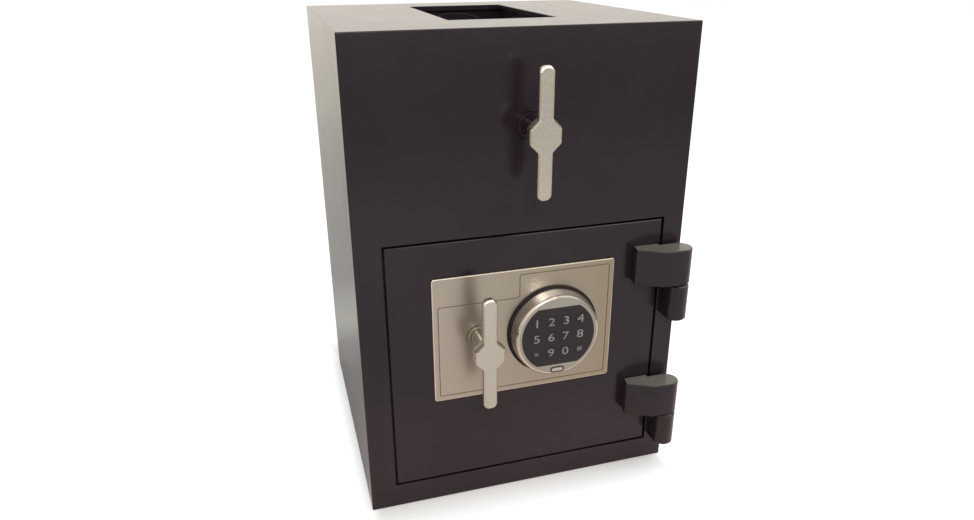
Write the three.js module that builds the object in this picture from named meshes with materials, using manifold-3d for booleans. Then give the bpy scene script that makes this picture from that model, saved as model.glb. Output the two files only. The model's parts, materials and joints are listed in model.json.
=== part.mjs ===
// Drop safe: a steel cabinet with a rotary deposit hopper over a keypad-locked compartment.
// Millimetres, +Z up. The origin is the centre of the bottom face, and the front faces -Y.
import * as THREE from "three";
import { RoundedBoxGeometry } from "three/addons/geometries/RoundedBoxGeometry.js";
import { mergeVertices } from "three/addons/utils/BufferGeometryUtils.js";
import Module from "manifold-3d";

const wasm = await Module();
wasm.setup();

// Clearances and resolutions shared by every sub-assembly
const seatGap = 0.3; // between pieces that rest on or are fitted into each other
const runningGap = 0.4; // round anything that turns or slides
const cutOverrun = 2; // how far a cutting tool runs past the faces it cuts
const weldTolerance = 1e-4; // vertices closer than this are one vertex
const roundSegments = 32;
const keypadSegments = 48;
const drumEndSegments = 56;
const smallSegments = 16;
const cornerSteps = 2;
const arcSteps = 14;
const quarterTurn = Math.PI / 2;

// Cabinet: a folded shell with a welded base and back
const cabinetWidth = 360;
const cabinetDepth = 350;
const cabinetHeight = 520;
const cabinetWall = 6;
const frontWall = 8;
const cabinetEdgeRadius = 1.2;
const cabinetEdgeSegments = 2;
const anchorHoleRadius = 7;
const anchorInsetX = 54; // anchor holes from the side walls' inner faces
const anchorInsetY = 62; // anchor holes from the front and back walls' inner faces
const backAnchorHeight = 150;

// Door opening, stop frame and door
const openingLeftMargin = 28; // from the cabinet's side to the opening
const openingRightMargin = 23;
const openingTopDrop = 203; // from the cabinet's top to the opening
const openingBottom = 28;
const doorGap = 2.5;
const doorThickness = 12;
const doorCornerRadius = 1.5;
const doorEdgeBevel = 0.8;
const stopFrameBand = 14; // how far the frame reaches beyond the opening
const stopLip = 12; // how far the lip reaches behind the door
const stopLipThickness = 6;

// Hinges
const hingeInset = 8.5; // barrel axis from the cabinet's side
const hingeStandOff = 16.5; // barrel axis in front of the cabinet
const hingeBarrelRadius = 12;
const hingePinRadius = 6;
const hingePinEngagement = 28; // length of pin in each knuckle
const hingeBodyHeight = 43;
const hingeDoorHeight = 41;
const hingeWasherThickness = 1.2;
const hingeWasherMargin = 1.2; // washer inside the barrel's edge
const hingeLeafLength = 49; // barrel axis to the tip of the door leaf
const hingeLeafSeat = 20; // barrel axis to the end of the leaf's seat on the door
const hingeLeafTipDepth = 13; // thickness of the leaf at its tip
const hingeLeafTipRake = 2.4;
const hingeLeafShoulder = 23; // barrel axis to where the leaf starts to taper
const hingeDoorBevel = 0.8;
const hingeBodyBevel = 2;
const upperHingeShare = 0.598616; // up the opening's height
const lowerHingeRise = 6; // above the opening's bottom

// Hopper: a slotted drum between two cheeks, with a curved guard on each side
const mouthWidth = 117;
const mouthFrontDepth = 84; // front face to the front edge of the mouth
const mouthRearDepth = 55; // back edge of the mouth to the back wall's inner face
const drumRadius = 84;
const drumWall = 3;
const drumEndThickness = 4;
const drumRoofGap = 3;
const drumSlotMargin = 2; // slot edge beyond the mouth's edge, each side
const drumGuardGap = 3;
const drumEndGap = 2;
const drumSteps = 44;
const cheekThickness = 3;
const cheekSideMargin = 11;
const cheekBottomMargin = 6;
const cheekCornerCut = 40;
const guardThickness = 3;
const guardLowerAngle = -THREE.MathUtils.degToRad(40);
const guardLipSetback = 2;
const guardFlange = 14;
const hopperSpindleRadius = 9;
const bearingWall = 4;
const bearingFlange = 4; // flange beyond the sleeve
const bearingFlangeThickness = 2;
const stopArmThickness = 6;
const stopArmHalfWidth = 6;
const stopArmReach = 36;
const stopArmHub = 16;
const stopStudRadius = 5;
const rearCollarRadius = 15;
const rearCollarThickness = 5;
const rearStubProud = 2;

// The two T-handles are alike
const handleLength = 126.5;
const handleWidth = 14.5;
const handleThickness = 9;
const handleEndRadius = 5;
const handleBevel = 1.5;
const handleBevelSegments = 2;
const handleEndSteps = 4;
const handleBossSides = 8;
const handleBossFlats = 32;
const handleBossThickness = 11;
const handleStandOff = 46; // front of the handle from the front of the cabinet
const handleSocketDepth = 5;

// Escutcheon plate, with the bolt handle and the keypad on its centreline
const plateHandleMargin = 50; // plate's left edge to the handle's axis
const plateHingeGap = 20.1; // plate's right edge to the tip of the upper hinge leaf
const plateCentreDrop = 113; // below the top of the opening
const plateHeight = 145;
const plateThickness = 1.5;
const plateCornerRadius = 3;
const plateBevel = 0.5;
const keypadPitch = 83.6; // handle's axis to the keypad's axis
const keypadDrop = 2.8; // keypad's axis below the handle's
const cableHoleRadius = 6;
const boltSpindleRadius = 9;
const boltBushProud = 1;

// Keypad
const gasketRadius = 52;
const gasketThickness = 3;
const keypadBaseRadius = 50;
const keypadFaceRadius = 47.4;
const keypadHeight = 19; // from the plate to the keypad's face
const keypadEdge = 1.8;
const keypadShell = 3;
const keypadFaceWall = 8;
const fasciaRadius = 41.3;
const fasciaHalfHeight = 34.2;
const fasciaFillet = 5;
const fasciaThickness = 2.2;
const fasciaProud = 0.4;
const fasciaLedge = 1.5;
const keyWidth = 11;
const keyHeight = 12;
const keyCornerRadius = 3;
const keyBevel = 0.3;
const keyProud = 0.4;
const keyColumns = 4;
const keyRows = 3;
const keyColumnPitch = 16.6;
const keyRowPitch = 18.6;
const keyTravel = 1;
const keyFlange = 1; // flange beyond the key, behind the fascia
const keyFlangeThickness = 1.6;
const windowHalfRun = 4.5; // straight half of the oval
const windowRadius = 3.6;
const windowDrop = 40.9; // below the keypad's centre
const windowDepth = 1.5;
const windowProud = 0.5;

// Bolt work on the back of the door
const handleTurn = THREE.MathUtils.degToRad(90);
const boltThrow = 25;
const boltRadius = 11;
const boltTipChamfer = 2;
const boltFrameGap = 2; // between the stop frame and a thrown bolt
const boltInsetZ = 33; // from the cover's lower and upper edges
const boltSpigotRadius = 6;
const boltSpigotLength = 4.7;
const boltTipProud = 5; // drawn bolt beyond the cover
const crankGap = 3; // crank behind the door
const crankThickness = 6;
const crankHub = 17;
const crankHalfWidth = 9;
const crankPinRadius = 5;
const crankPinProud = 5; // pin beyond the carriage
const crankSlotPlay = 0.8;
const carriageGap = 2;
const carriageThickness = 5;
const carriageFlangeThickness = 6;
const carriageFlangeMargin = 5; // flange beyond the bolts
const carriageLeftOfHandle = 29.5; // flange to the handle's axis
const carriageRightOfHandle = 41;
const carriageCornerCut = 18;
const carriageArmHeight = 20;
const carriageArmClearance = 11.4; // above the raised lock bolt
// Window in the carriage, as shares of the rise from the lower stud to the handle's axis
const windowLowShare = 0.345;
const windowHighShare = 0.664;
const windowRadiusShare = 0.138;
const carriageThrowClearance = 2;
const lugClearance = 1.5;
const lugAboveLock = 2.5;
const lugEnd = 2;
const studRadius = 4.5;
const studHeadRadius = 8;
const studHeadThickness = 3;
const lowerStudOffset = 13; // handle axis to the lower stud, towards the bolts
const lowerStudRise = 12; // above the carriage's lower edge
const upperStudOffset = 35; // handle axis to the upper stud, away from the bolts
const guideThickness = 6;
const guideHalfHeight = 19;
const guideRearMargin = 6;
const guideCornerRadius = 5;
const guideFoot = 12;
const guideFootThickness = 4;

// Electronic lock body and its bolt
const lockWidth = 61;
const lockHeight = 85;
const lockDepth = 31;
const lockLidDepth = 6;
const lockLidInset = 2;
const lockCornerRadius = 4;
const lockTopAboveHandle = 31;
const lockBoltWidth = 16;
const lockBoltThickness = 10;
const lockBoltLength = 22;
const lockBoltTravel = 8;
const lockBoltRestProud = 0.6;
const lockBoltBevel = 0.6;

// Fixed dog bar and the cover over the bolt work
const dogBarInset = 37; // from the stop lip's lower and upper edges
const dogBarThickness = 4;
const dogBarFlangeThickness = 6;
const dogBarReach = 8; // flange behind the stop lip
const dogBarRearGap = 6.6; // flange behind the stop frame
const coverInsetLeft = 15; // from the stop lip's edge
const coverInsetRight = 20;
const coverInsetZ = 18;
const coverDepth = 38;
const coverSheet = 1.5;
const coverCornerRadius = 6;
const coverFieldInset = 18;
const coverFieldHeight = 2;
const coverBoltClearance = 1;
const coverDogGap = 4;

// Planes and places that follow from the sizes above
const frontY = -cabinetDepth / 2;
const backY = cabinetDepth / 2;
const innerFrontY = frontY + frontWall;
const innerBackY = backY - cabinetWall;
const innerHalfWidth = cabinetWidth / 2 - cabinetWall;
const roofZ = cabinetHeight - cabinetWall;
const openingLeft = openingLeftMargin - cabinetWidth / 2;
const openingRight = cabinetWidth / 2 - openingRightMargin;
const openingTop = cabinetHeight - openingTopDrop;
const doorBackY = frontY + doorThickness;
const lipFrontY = doorBackY + runningGap;
const lipBackY = lipFrontY + stopLipThickness;
const lipLeft = openingLeft + stopLip;
const lipRight = openingRight - stopLip;
const lipBottom = openingBottom + stopLip;
const lipTop = openingTop - stopLip;
const hingeX = cabinetWidth / 2 - hingeInset;
const hingeY = frontY - hingeStandOff;
const upperHingeBottom = openingBottom + upperHingeShare * (openingTop - openingBottom);
const lowerHingeBottom = openingBottom + lowerHingeRise;
const hopperAxisZ = roofZ - drumRoofGap - drumRadius;
const mouthFrontY = frontY + mouthFrontDepth;
const mouthBackY = innerBackY - mouthRearDepth;
const drumEndFrontY = mouthFrontY - seatGap - drumEndThickness;
const drumEndBackY = mouthBackY + seatGap + drumEndThickness;
const frontCheekBackY = drumEndFrontY - drumEndGap;
const frontCheekFrontY = frontCheekBackY - cheekThickness;
const rearCheekFrontY = drumEndBackY + drumEndGap;
const rearCheekBackY = rearCheekFrontY + cheekThickness;
const handleFrontY = frontY - handleStandOff;
const handleBossBackY = handleFrontY + handleBossThickness;
const spindleFrontY = handleBossBackY - handleSocketDepth + seatGap;
const plateBackY = frontY - seatGap;
const plateFrontY = plateBackY - plateThickness;
const plateCentreZ = openingTop - plateCentreDrop;
const insideDoorY = doorBackY + seatGap;
const boltY = lipBackY + boltFrameGap + boltRadius;
const crankFrontY = doorBackY + crankGap;
const crankBackY = crankFrontY + crankThickness;
const crankReach = boltThrow / (2 * Math.sin(handleTurn / 2));
const carriageFrontY = crankBackY + carriageGap;
const carriageBackY = carriageFrontY + carriageThickness;
const coverLeft = lipLeft + coverInsetLeft;
const coverRight = lipRight - coverInsetRight;
const coverBottom = lipBottom + coverInsetZ;
const coverTop = lipTop - coverInsetZ;
const coverBackY = doorBackY + coverDepth;
const upperBoltZ = coverTop - boltInsetZ;
const lowerBoltZ = coverBottom + boltInsetZ;
const guideLeft = coverLeft + coverSheet + coverBoltClearance;
const guideRight = guideLeft + guideThickness;
const carriageFlangeLeft = guideRight + carriageThrowClearance + boltThrow;
const carriageFlangeRight = carriageFlangeLeft + carriageFlangeThickness;
const boltHandleX = carriageFlangeRight + carriageLeftOfHandle;
const keypadX = boltHandleX + keypadPitch;
const keypadZ = plateCentreZ - keypadDrop;
const plateLeft = boltHandleX - plateHandleMargin;
const plateRight = hingeX - hingeLeafLength - hingeLeafTipRake - plateHingeGap;
const boltTipX = coverLeft - boltTipProud;
const lockTop = plateCentreZ + lockTopAboveHandle;
const carriageLow = lowerBoltZ - boltRadius - carriageFlangeMargin;
const carriageHigh = upperBoltZ + boltRadius + carriageFlangeMargin;
const carriageArmBottom =
  lockTop + lockBoltRestProud + lockBoltTravel + carriageArmClearance;
const carriageArmTop = carriageArmBottom + carriageArmHeight;
const lugLeft = keypadX + lockBoltWidth / 2 + lugClearance;
const lugRight = lugLeft + boltThrow - lockBoltWidth - 2 * lugClearance;

// Finishes
function finish(color, roughness, metalness) {
  return new THREE.MeshStandardMaterial({ color, roughness, metalness });
}
const charcoalEnamel = finish(0x393536, 0.5, 0.1);
const satinNickel = finish(0xb8b0a2, 0.34, 1);
const brushedPlate = finish(0xa79b86, 0.38, 1);
const polishedChrome = finish(0xc4c2bd, 0.16, 1);
const blackRubber = finish(0x1b191a, 0.75, 0);
const blackFascia = finish(0x201d20, 0.45, 0);
const brightSteel = finish(0x9c9a96, 0.3, 1);
const zincPlated = finish(0x8d9093, 0.42, 1);
const bearingBronze = finish(0x9a6a35, 0.4, 1);
const lockCasting = finish(0x6f7072, 0.5, 0.9);
const paleWindow = finish(0xcfccc4, 0.3, 0);

// Solids
function solid(geometry) {
  const bare = geometry.index ? geometry.toNonIndexed() : geometry.clone();
  bare.deleteAttribute("normal");
  bare.deleteAttribute("uv");
  const merged = mergeVertices(bare, weldTolerance);
  const corners = merged.index.array;
  const kept = [];
  for (let i = 0; i < corners.length; i += 3) {
    const [a, b, c] = [corners[i], corners[i + 1], corners[i + 2]];
    if (a !== b && b !== c && c !== a) kept.push(a, b, c);
  }
  const vertProperties = merged.getAttribute("position").array;
  const triVerts = new Uint32Array(kept);
  return new wasm.Manifold(new wasm.Mesh({ numProp: 3, vertProperties, triVerts }));
}

function join(first, ...others) {
  return others.reduce((whole, other) => whole.add(other), first);
}

function cut(first, ...tools) {
  return tools.reduce((rest, tool) => rest.subtract(tool), first);
}

function geometryOf(made) {
  const { vertProperties, triVerts, numProp } = made.getMesh();
  const geometry = new THREE.BufferGeometry();
  const attribute = new THREE.BufferAttribute(new Float32Array(vertProperties), numProp);
  geometry.setAttribute("position", attribute);
  geometry.setIndex(new THREE.BufferAttribute(new Uint32Array(triVerts), 1));
  geometry.computeVertexNormals();
  return geometry;
}

function piece(name, material, made) {
  const mesh = new THREE.Mesh(geometryOf(made), material);
  mesh.name = name;
  return mesh;
}

function groupAt(x, y, z, ...children) {
  const group = new THREE.Group();
  group.position.set(x, y, z);
  group.add(...children);
  return group;
}

// A block between two corners
function block(xLow, xHigh, yLow, yHigh, zLow, zHigh) {
  const geometry = new THREE.BoxGeometry(xHigh - xLow, yHigh - yLow, zHigh - zLow);
  geometry.translate((xLow + xHigh) / 2, (yLow + yHigh) / 2, (zLow + zHigh) / 2);
  return solid(geometry);
}

// An outline drawn in X and Z, given thickness from yFront to yBack
function slab(shape, yFront, yBack, bevel = 0, bevelSegments = 1) {
  const geometry = new THREE.ExtrudeGeometry(shape, {
    depth: yBack - yFront - 2 * bevel,
    bevelEnabled: bevel > 0,
    bevelThickness: bevel,
    bevelSize: bevel,
    bevelOffset: -bevel,
    bevelSegments,
  });
  geometry.rotateX(quarterTurn).translate(0, yBack - bevel, 0);
  return solid(geometry);
}

// An outline drawn in X and Y, given height from zLow to zHigh
function prism(shape, zLow, zHigh, bevel = 0, bevelSegments = 1) {
  const geometry = new THREE.ExtrudeGeometry(shape, {
    depth: zHigh - zLow - 2 * bevel,
    bevelEnabled: bevel > 0,
    bevelThickness: bevel,
    bevelSize: bevel,
    bevelOffset: -bevel,
    bevelSegments,
  });
  geometry.translate(0, 0, zLow + bevel);
  return solid(geometry);
}

// An outline drawn in Y and Z, given thickness from xLow to xHigh
function plank(shape, xLow, xHigh) {
  const depth = xHigh - xLow;
  const geometry = new THREE.ExtrudeGeometry(shape, { depth, bevelEnabled: false });
  const yAxis = new THREE.Vector3(0, 1, 0);
  const zAxis = new THREE.Vector3(0, 0, 1);
  const xAxis = new THREE.Vector3(1, 0, 0);
  geometry.applyMatrix4(new THREE.Matrix4().makeBasis(yAxis, zAxis, xAxis));
  geometry.translate(xLow, 0, 0);
  return solid(geometry);
}

function rodAlongY(radius, x, z, yFront, yBack, segments = roundSegments) {
  const geometry = new THREE.CylinderGeometry(radius, radius, yBack - yFront, segments);
  geometry.translate(x, (yFront + yBack) / 2, z);
  return solid(geometry);
}

function rodAlongX(radius, xLow, xHigh, y, z, segments = roundSegments) {
  const geometry = new THREE.CylinderGeometry(radius, radius, xHigh - xLow, segments);
  geometry.rotateZ(quarterTurn).translate((xLow + xHigh) / 2, y, z);
  return solid(geometry);
}

function rodAlongZ(radius, zLow, zHigh, segments = roundSegments) {
  const geometry = new THREE.CylinderGeometry(radius, radius, zHigh - zLow, segments);
  geometry.rotateX(quarterTurn).translate(0, 0, (zLow + zHigh) / 2);
  return solid(geometry);
}

// A profile of [radius, y] points turned about the Y axis, walked with the metal on its left
function turned(profile, segments = roundSegments) {
  const points = profile.map(([radius, along]) => new THREE.Vector2(radius, along));
  return solid(new THREE.LatheGeometry(points, segments));
}

// Outlines
function arc(centreX, centreZ, radius, from, to, steps = cornerSteps) {
  return Array.from({ length: steps + 1 }, (_, step) => {
    const angle = from + ((to - from) * step) / steps;
    return new THREE.Vector2(
      centreX + radius * Math.cos(angle),
      centreZ + radius * Math.sin(angle),
    );
  });
}

function outline(...points) {
  return new THREE.Shape(points.map((p) => (p.isVector2 ? p : new THREE.Vector2(...p))));
}

function roundedRectangle(left, right, low, high, radius, steps = cornerSteps) {
  return outline(
    ...arc(right - radius, low + radius, radius, -quarterTurn, 0, steps),
    ...arc(right - radius, high - radius, radius, 0, quarterTurn, steps),
    ...arc(left + radius, high - radius, radius, quarterTurn, Math.PI, steps),
    ...arc(left + radius, low + radius, radius, Math.PI, 3 * quarterTurn, steps),
  );
}

// A slot with round ends whose centres are [x1, z1] and [x2, z2]
function stadium(x1, z1, x2, z2, radius) {
  const along = Math.atan2(z2 - z1, x2 - x1);
  const halfSteps = smallSegments / 2;
  return outline(
    ...arc(x2, z2, radius, along - quarterTurn, along + quarterTurn, halfSteps),
    ...arc(x1, z1, radius, along + quarterTurn, along + 3 * quarterTurn, halfSteps),
  );
}

// A circle cut flat above and below, its four corners filleted
function flattenedCircle(radius, halfHeight, fillet) {
  const cornerZ = halfHeight - fillet;
  const cornerX = Math.sqrt((radius - fillet) ** 2 - cornerZ ** 2);
  const blend = Math.atan2(cornerZ, cornerX);
  return outline(
    ...arc(0, 0, radius, -blend, blend, arcSteps),
    ...arc(cornerX, cornerZ, fillet, blend, quarterTurn).slice(1),
    ...arc(-cornerX, cornerZ, fillet, quarterTurn, Math.PI - blend),
    ...arc(0, 0, radius, Math.PI - blend, Math.PI + blend, arcSteps).slice(1),
    ...arc(-cornerX, -cornerZ, fillet, Math.PI + blend, 3 * quarterTurn).slice(1),
    ...arc(cornerX, -cornerZ, fillet, 3 * quarterTurn, 4 * quarterTurn - blend).slice(0, -1),
  );
}

// A flanged bush round a shaft: the sleeve runs from sleeveY to flangeY, where the flange begins
function flangedBush(shaftRadius, sleeveY, flangeY) {
  const bore = shaftRadius + runningGap;
  const sleeve = bore + bearingWall;
  const flange = sleeve + bearingFlange;
  const endY = flangeY + Math.sign(flangeY - sleeveY) * bearingFlangeThickness;
  const profile = [
    [bore, sleeveY],
    [sleeve, sleeveY],
    [sleeve, flangeY],
    [flange, flangeY],
    [flange, endY],
    [bore, endY],
    [bore, sleeveY],
  ];
  return turned(flangeY > sleeveY ? profile : profile.reverse(), smallSegments);
}

function bushSeatRadius(shaftRadius) {
  return shaftRadius + runningGap + bearingWall + seatGap;
}

// A hub with one arm along +Z
function leverArm(hubRadius, halfWidth, reach, yFront, yBack) {
  return join(
    rodAlongY(hubRadius, 0, 0, yFront, yBack),
    slab(stadium(0, 0, 0, reach, halfWidth), yFront, yBack),
  );
}

// Cabinet
function cabinetShell() {
  const geometry = new RoundedBoxGeometry(
    cabinetWidth,
    cabinetDepth,
    cabinetHeight,
    cabinetEdgeSegments,
    cabinetEdgeRadius,
  );
  const outer = solid(geometry.translate(0, 0, cabinetHeight / 2));
  const inside = block(
    -innerHalfWidth,
    innerHalfWidth,
    innerFrontY,
    backY + cutOverrun,
    -cutOverrun,
    roofZ,
  );
  const doorway = block(
    openingLeft,
    openingRight,
    frontY - cutOverrun,
    innerFrontY + cutOverrun,
    openingBottom,
    openingTop,
  );
  const mouth = block(
    -mouthWidth / 2,
    mouthWidth / 2,
    mouthFrontY,
    mouthBackY,
    roofZ - cutOverrun,
    cabinetHeight + cutOverrun,
  );
  const spindleHole = rodAlongY(
    bushSeatRadius(hopperSpindleRadius),
    0,
    hopperAxisZ,
    frontY - cutOverrun,
    innerFrontY + cutOverrun,
  );
  return cut(outer, inside, doorway, mouth, spindleHole);
}

function basePlate() {
  const halfWidth = innerHalfWidth - seatGap;
  const low = innerFrontY + seatGap;
  const high = innerBackY - seatGap;
  const plate = block(-halfWidth, halfWidth, low, high, 0, cabinetWall);
  const holes = [];
  for (const x of [anchorInsetX - innerHalfWidth, innerHalfWidth - anchorInsetX]) {
    for (const y of [innerFrontY + anchorInsetY, innerBackY - anchorInsetY]) {
      const geometry = new THREE.CylinderGeometry(
        anchorHoleRadius,
        anchorHoleRadius,
        cabinetWall + 2 * cutOverrun,
        smallSegments,
      );
      holes.push(solid(geometry.rotateX(quarterTurn).translate(x, y, cabinetWall / 2)));
    }
  }
  return cut(plate, ...holes);
}

function backPlate() {
  const halfWidth = innerHalfWidth - seatGap;
  const plate = block(-halfWidth, halfWidth, innerBackY, backY, 0, roofZ - seatGap);
  const holes = [anchorInsetX - innerHalfWidth, innerHalfWidth - anchorInsetX].map((x) =>
    rodAlongY(
      anchorHoleRadius,
      x,
      backAnchorHeight,
      innerBackY - cutOverrun,
      backY + cutOverrun,
      smallSegments,
    ),
  );
  return cut(plate, ...holes);
}

// A rectangular angle frame: its band lies on the front wall and its lip stops the door
function doorStopFrame() {
  const band = block(
    openingLeft - stopFrameBand,
    openingRight + stopFrameBand,
    innerFrontY + seatGap,
    lipBackY,
    openingBottom - stopFrameBand,
    openingTop + stopFrameBand,
  );
  const doorPocket = block(
    openingLeft,
    openingRight,
    innerFrontY - cutOverrun,
    lipFrontY,
    openingBottom,
    openingTop,
  );
  const throat = block(
    lipLeft,
    lipRight,
    innerFrontY - cutOverrun,
    lipBackY + cutOverrun,
    lipBottom,
    lipTop,
  );
  return cut(band, doorPocket, throat);
}

// Hopper
const hopperCeiling = roofZ - hopperAxisZ - seatGap;

function cheekPlate(yFront, yBack) {
  const side = drumRadius + cheekSideMargin;
  const bottom = -drumRadius - cheekBottomMargin;
  const plate = slab(
    outline(
      [cheekCornerCut - side, bottom],
      [side - cheekCornerCut, bottom],
      [side, bottom + cheekCornerCut],
      [side, hopperCeiling],
      [-side, hopperCeiling],
      [-side, bottom + cheekCornerCut],
    ),
    yFront,
    yBack,
  );
  const seat = bushSeatRadius(hopperSpindleRadius);
  return cut(plate, rodAlongY(seat, 0, 0, yFront - cutOverrun, yBack + cutOverrun));
}

const frontBearingFlangeY = frontCheekFrontY - seatGap;
const stopArmBackY = frontBearingFlangeY - bearingFlangeThickness - drumEndGap;
const stopArmFrontY = stopArmBackY - stopArmThickness;

// The front cheek carries the two studs that stop the drum after half a turn
function frontCheek() {
  const studZ = -(stopArmHalfWidth + runningGap + stopStudRadius);
  const studs = [-1, 1].map((side) =>
    rodAlongY(
      stopStudRadius,
      side * stopArmReach,
      studZ,
      stopArmFrontY,
      frontCheekBackY,
      smallSegments,
    ),
  );
  return join(cheekPlate(frontCheekFrontY, frontCheekBackY), ...studs);
}

// A guard hangs from the roof beside the mouth and follows the drum down past its widest point
function guard(side) {
  const inner = drumRadius + drumGuardGap;
  const outer = inner + guardThickness;
  const lipInner = mouthWidth / 2 + guardLipSetback;
  const lipOuter = lipInner + guardThickness;
  const profile = outline(
    ...arc(0, 0, outer, guardLowerAngle, Math.acos(lipOuter / outer), arcSteps),
    [lipOuter, hopperCeiling - guardThickness],
    [lipOuter + guardFlange, hopperCeiling - guardThickness],
    [lipOuter + guardFlange, hopperCeiling],
    [lipInner, hopperCeiling],
    ...arc(0, 0, inner, Math.acos(lipInner / inner), guardLowerAngle, arcSteps),
  );
  const mirrored = profile.getPoints().map(({ x, y }) => new THREE.Vector2(side * x, y));
  return slab(
    new THREE.Shape(mirrored),
    frontCheekBackY + seatGap,
    rearCheekFrontY - seatGap,
  );
}

// The drum is a cylinder with a slot that faces the mouth at rest
function drumShell() {
  const halfSlot = Math.asin((mouthWidth / 2 + drumSlotMargin) / drumRadius);
  const from = quarterTurn + halfSlot;
  const to = quarterTurn - halfSlot + 2 * Math.PI;
  const profile = outline(
    ...arc(0, 0, drumRadius, from, to, drumSteps),
    ...arc(0, 0, drumRadius - drumWall, to, from, drumSteps),
  );
  return slab(profile, mouthFrontY, mouthBackY);
}

function drumEnd(yFront, yBack) {
  const bore = hopperSpindleRadius + seatGap;
  return cut(
    rodAlongY(drumRadius, 0, 0, yFront, yBack, drumEndSegments),
    rodAlongY(bore, 0, 0, yFront - cutOverrun, yBack + cutOverrun),
  );
}

function hopperStopArm() {
  const bore = hopperSpindleRadius + seatGap;
  return cut(
    leverArm(stopArmHub, stopArmHalfWidth, stopArmReach, stopArmFrontY, stopArmBackY),
    rodAlongY(bore, 0, 0, stopArmFrontY - cutOverrun, stopArmBackY + cutOverrun),
  );
}

const rearBearingFlangeY = rearCheekBackY + seatGap;
const rearCollarFrontY = rearBearingFlangeY + bearingFlangeThickness + runningGap;
const rearCollarBackY = rearCollarFrontY + rearCollarThickness;

function rearCollar() {
  const bore = hopperSpindleRadius + seatGap;
  return cut(
    rodAlongY(rearCollarRadius, 0, 0, rearCollarFrontY, rearCollarBackY),
    rodAlongY(bore, 0, 0, rearCollarFrontY - cutOverrun, rearCollarBackY + cutOverrun),
  );
}

// Both handles: a flat bar through an octagonal boss, with a blind socket for the spindle
function handle(spindleRadius) {
  const bar = roundedRectangle(
    -handleWidth / 2,
    handleWidth / 2,
    -handleLength / 2,
    handleLength / 2,
    handleEndRadius,
    handleEndSteps,
  );
  const halfSide = Math.PI / handleBossSides;
  const corner = handleBossFlats / 2 / Math.cos(halfSide);
  const lastCorner = 2 * Math.PI - halfSide;
  const boss = outline(...arc(0, 0, corner, halfSide, lastCorner, handleBossSides - 1));
  const socketY = handleBossBackY - handleSocketDepth;
  const socketRadius = spindleRadius + seatGap;
  return cut(
    join(
      slab(
        bar,
        handleFrontY,
        handleFrontY + handleThickness,
        handleBevel,
        handleBevelSegments,
      ),
      slab(boss, handleFrontY, handleBossBackY, handleBevel, handleBevelSegments),
    ),
    rodAlongY(socketRadius, 0, 0, socketY, handleBossBackY + cutOverrun),
  );
}

// Hinges, each drawn about its own barrel axis with z = 0 at the bottom of the body knuckle
const doorKnuckleLow = hingeBodyHeight + 2 * seatGap + hingeWasherThickness;
const doorKnuckleHigh = doorKnuckleLow + hingeDoorHeight;

function doorKnuckle() {
  const seatY = hingeStandOff - seatGap;
  const profile = outline(
    ...arc(0, 0, hingeBarrelRadius, -quarterTurn, quarterTurn, arcSteps),
    [-hingeLeafSeat, hingeBarrelRadius],
    [-hingeLeafSeat, seatY],
    [-hingeLeafLength, seatY],
    [-hingeLeafLength - hingeLeafTipRake, seatY - hingeLeafTipDepth],
    [-hingeLeafShoulder, -hingeBarrelRadius],
  );
  const bore = rodAlongZ(
    hingePinRadius + runningGap,
    doorKnuckleLow - cutOverrun,
    doorKnuckleLow + hingePinEngagement + seatGap,
    smallSegments,
  );
  return cut(prism(profile, doorKnuckleLow, doorKnuckleHigh, hingeDoorBevel), bore);
}

function bodyKnuckle() {
  const seatY = hingeStandOff - seatGap;
  const profile = outline(
    ...arc(0, 0, hingeBarrelRadius, Math.PI, 2 * Math.PI, arcSteps),
    [hingeInset - cabinetEdgeRadius, seatY],
    [-hingeBarrelRadius, seatY],
  );
  const bore = rodAlongZ(
    hingePinRadius + seatGap,
    hingeBodyHeight - hingePinEngagement - seatGap,
    hingeBodyHeight + cutOverrun,
    smallSegments,
  );
  return cut(prism(profile, 0, hingeBodyHeight, hingeBodyBevel), bore);
}

function hingeWasher() {
  const low = hingeBodyHeight + seatGap;
  const high = low + hingeWasherThickness;
  return cut(
    rodAlongZ(hingeBarrelRadius - hingeWasherMargin, low, high),
    rodAlongZ(hingePinRadius + runningGap, low - cutOverrun, high + cutOverrun, smallSegments),
  );
}

function hingePin() {
  const low = hingeBodyHeight - hingePinEngagement;
  const high = doorKnuckleLow + hingePinEngagement;
  return rodAlongZ(hingePinRadius, low, high, smallSegments);
}

const hingePlaces = [
  ["upper", upperHingeBottom],
  ["lower", lowerHingeBottom],
];

function hingePairs(build) {
  return hingePlaces.map(([place, bottom]) => groupAt(hingeX, hingeY, bottom, ...build(place)));
}

// Door
const bushSeat = bushSeatRadius(boltSpindleRadius);

function handleAndCableHoles(yFront, yBack) {
  return [
    rodAlongY(bushSeat, boltHandleX, plateCentreZ, yFront - cutOverrun, yBack + cutOverrun),
    rodAlongY(
      cableHoleRadius,
      keypadX,
      keypadZ,
      yFront - cutOverrun,
      yBack + cutOverrun,
      smallSegments,
    ),
  ];
}

function doorPlate() {
  const shape = roundedRectangle(
    openingLeft + doorGap,
    openingRight - doorGap,
    openingBottom + doorGap,
    openingTop - doorGap,
    doorCornerRadius,
  );
  const plate = slab(shape, frontY, doorBackY, doorEdgeBevel);
  return cut(plate, ...handleAndCableHoles(frontY, doorBackY));
}

function escutcheonPlate() {
  const shape = roundedRectangle(
    plateLeft,
    plateRight,
    plateCentreZ - plateHeight / 2,
    plateCentreZ + plateHeight / 2,
    plateCornerRadius,
  );
  const plate = slab(shape, plateFrontY, plateBackY, plateBevel);
  return cut(plate, ...handleAndCableHoles(plateFrontY, plateBackY));
}

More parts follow.
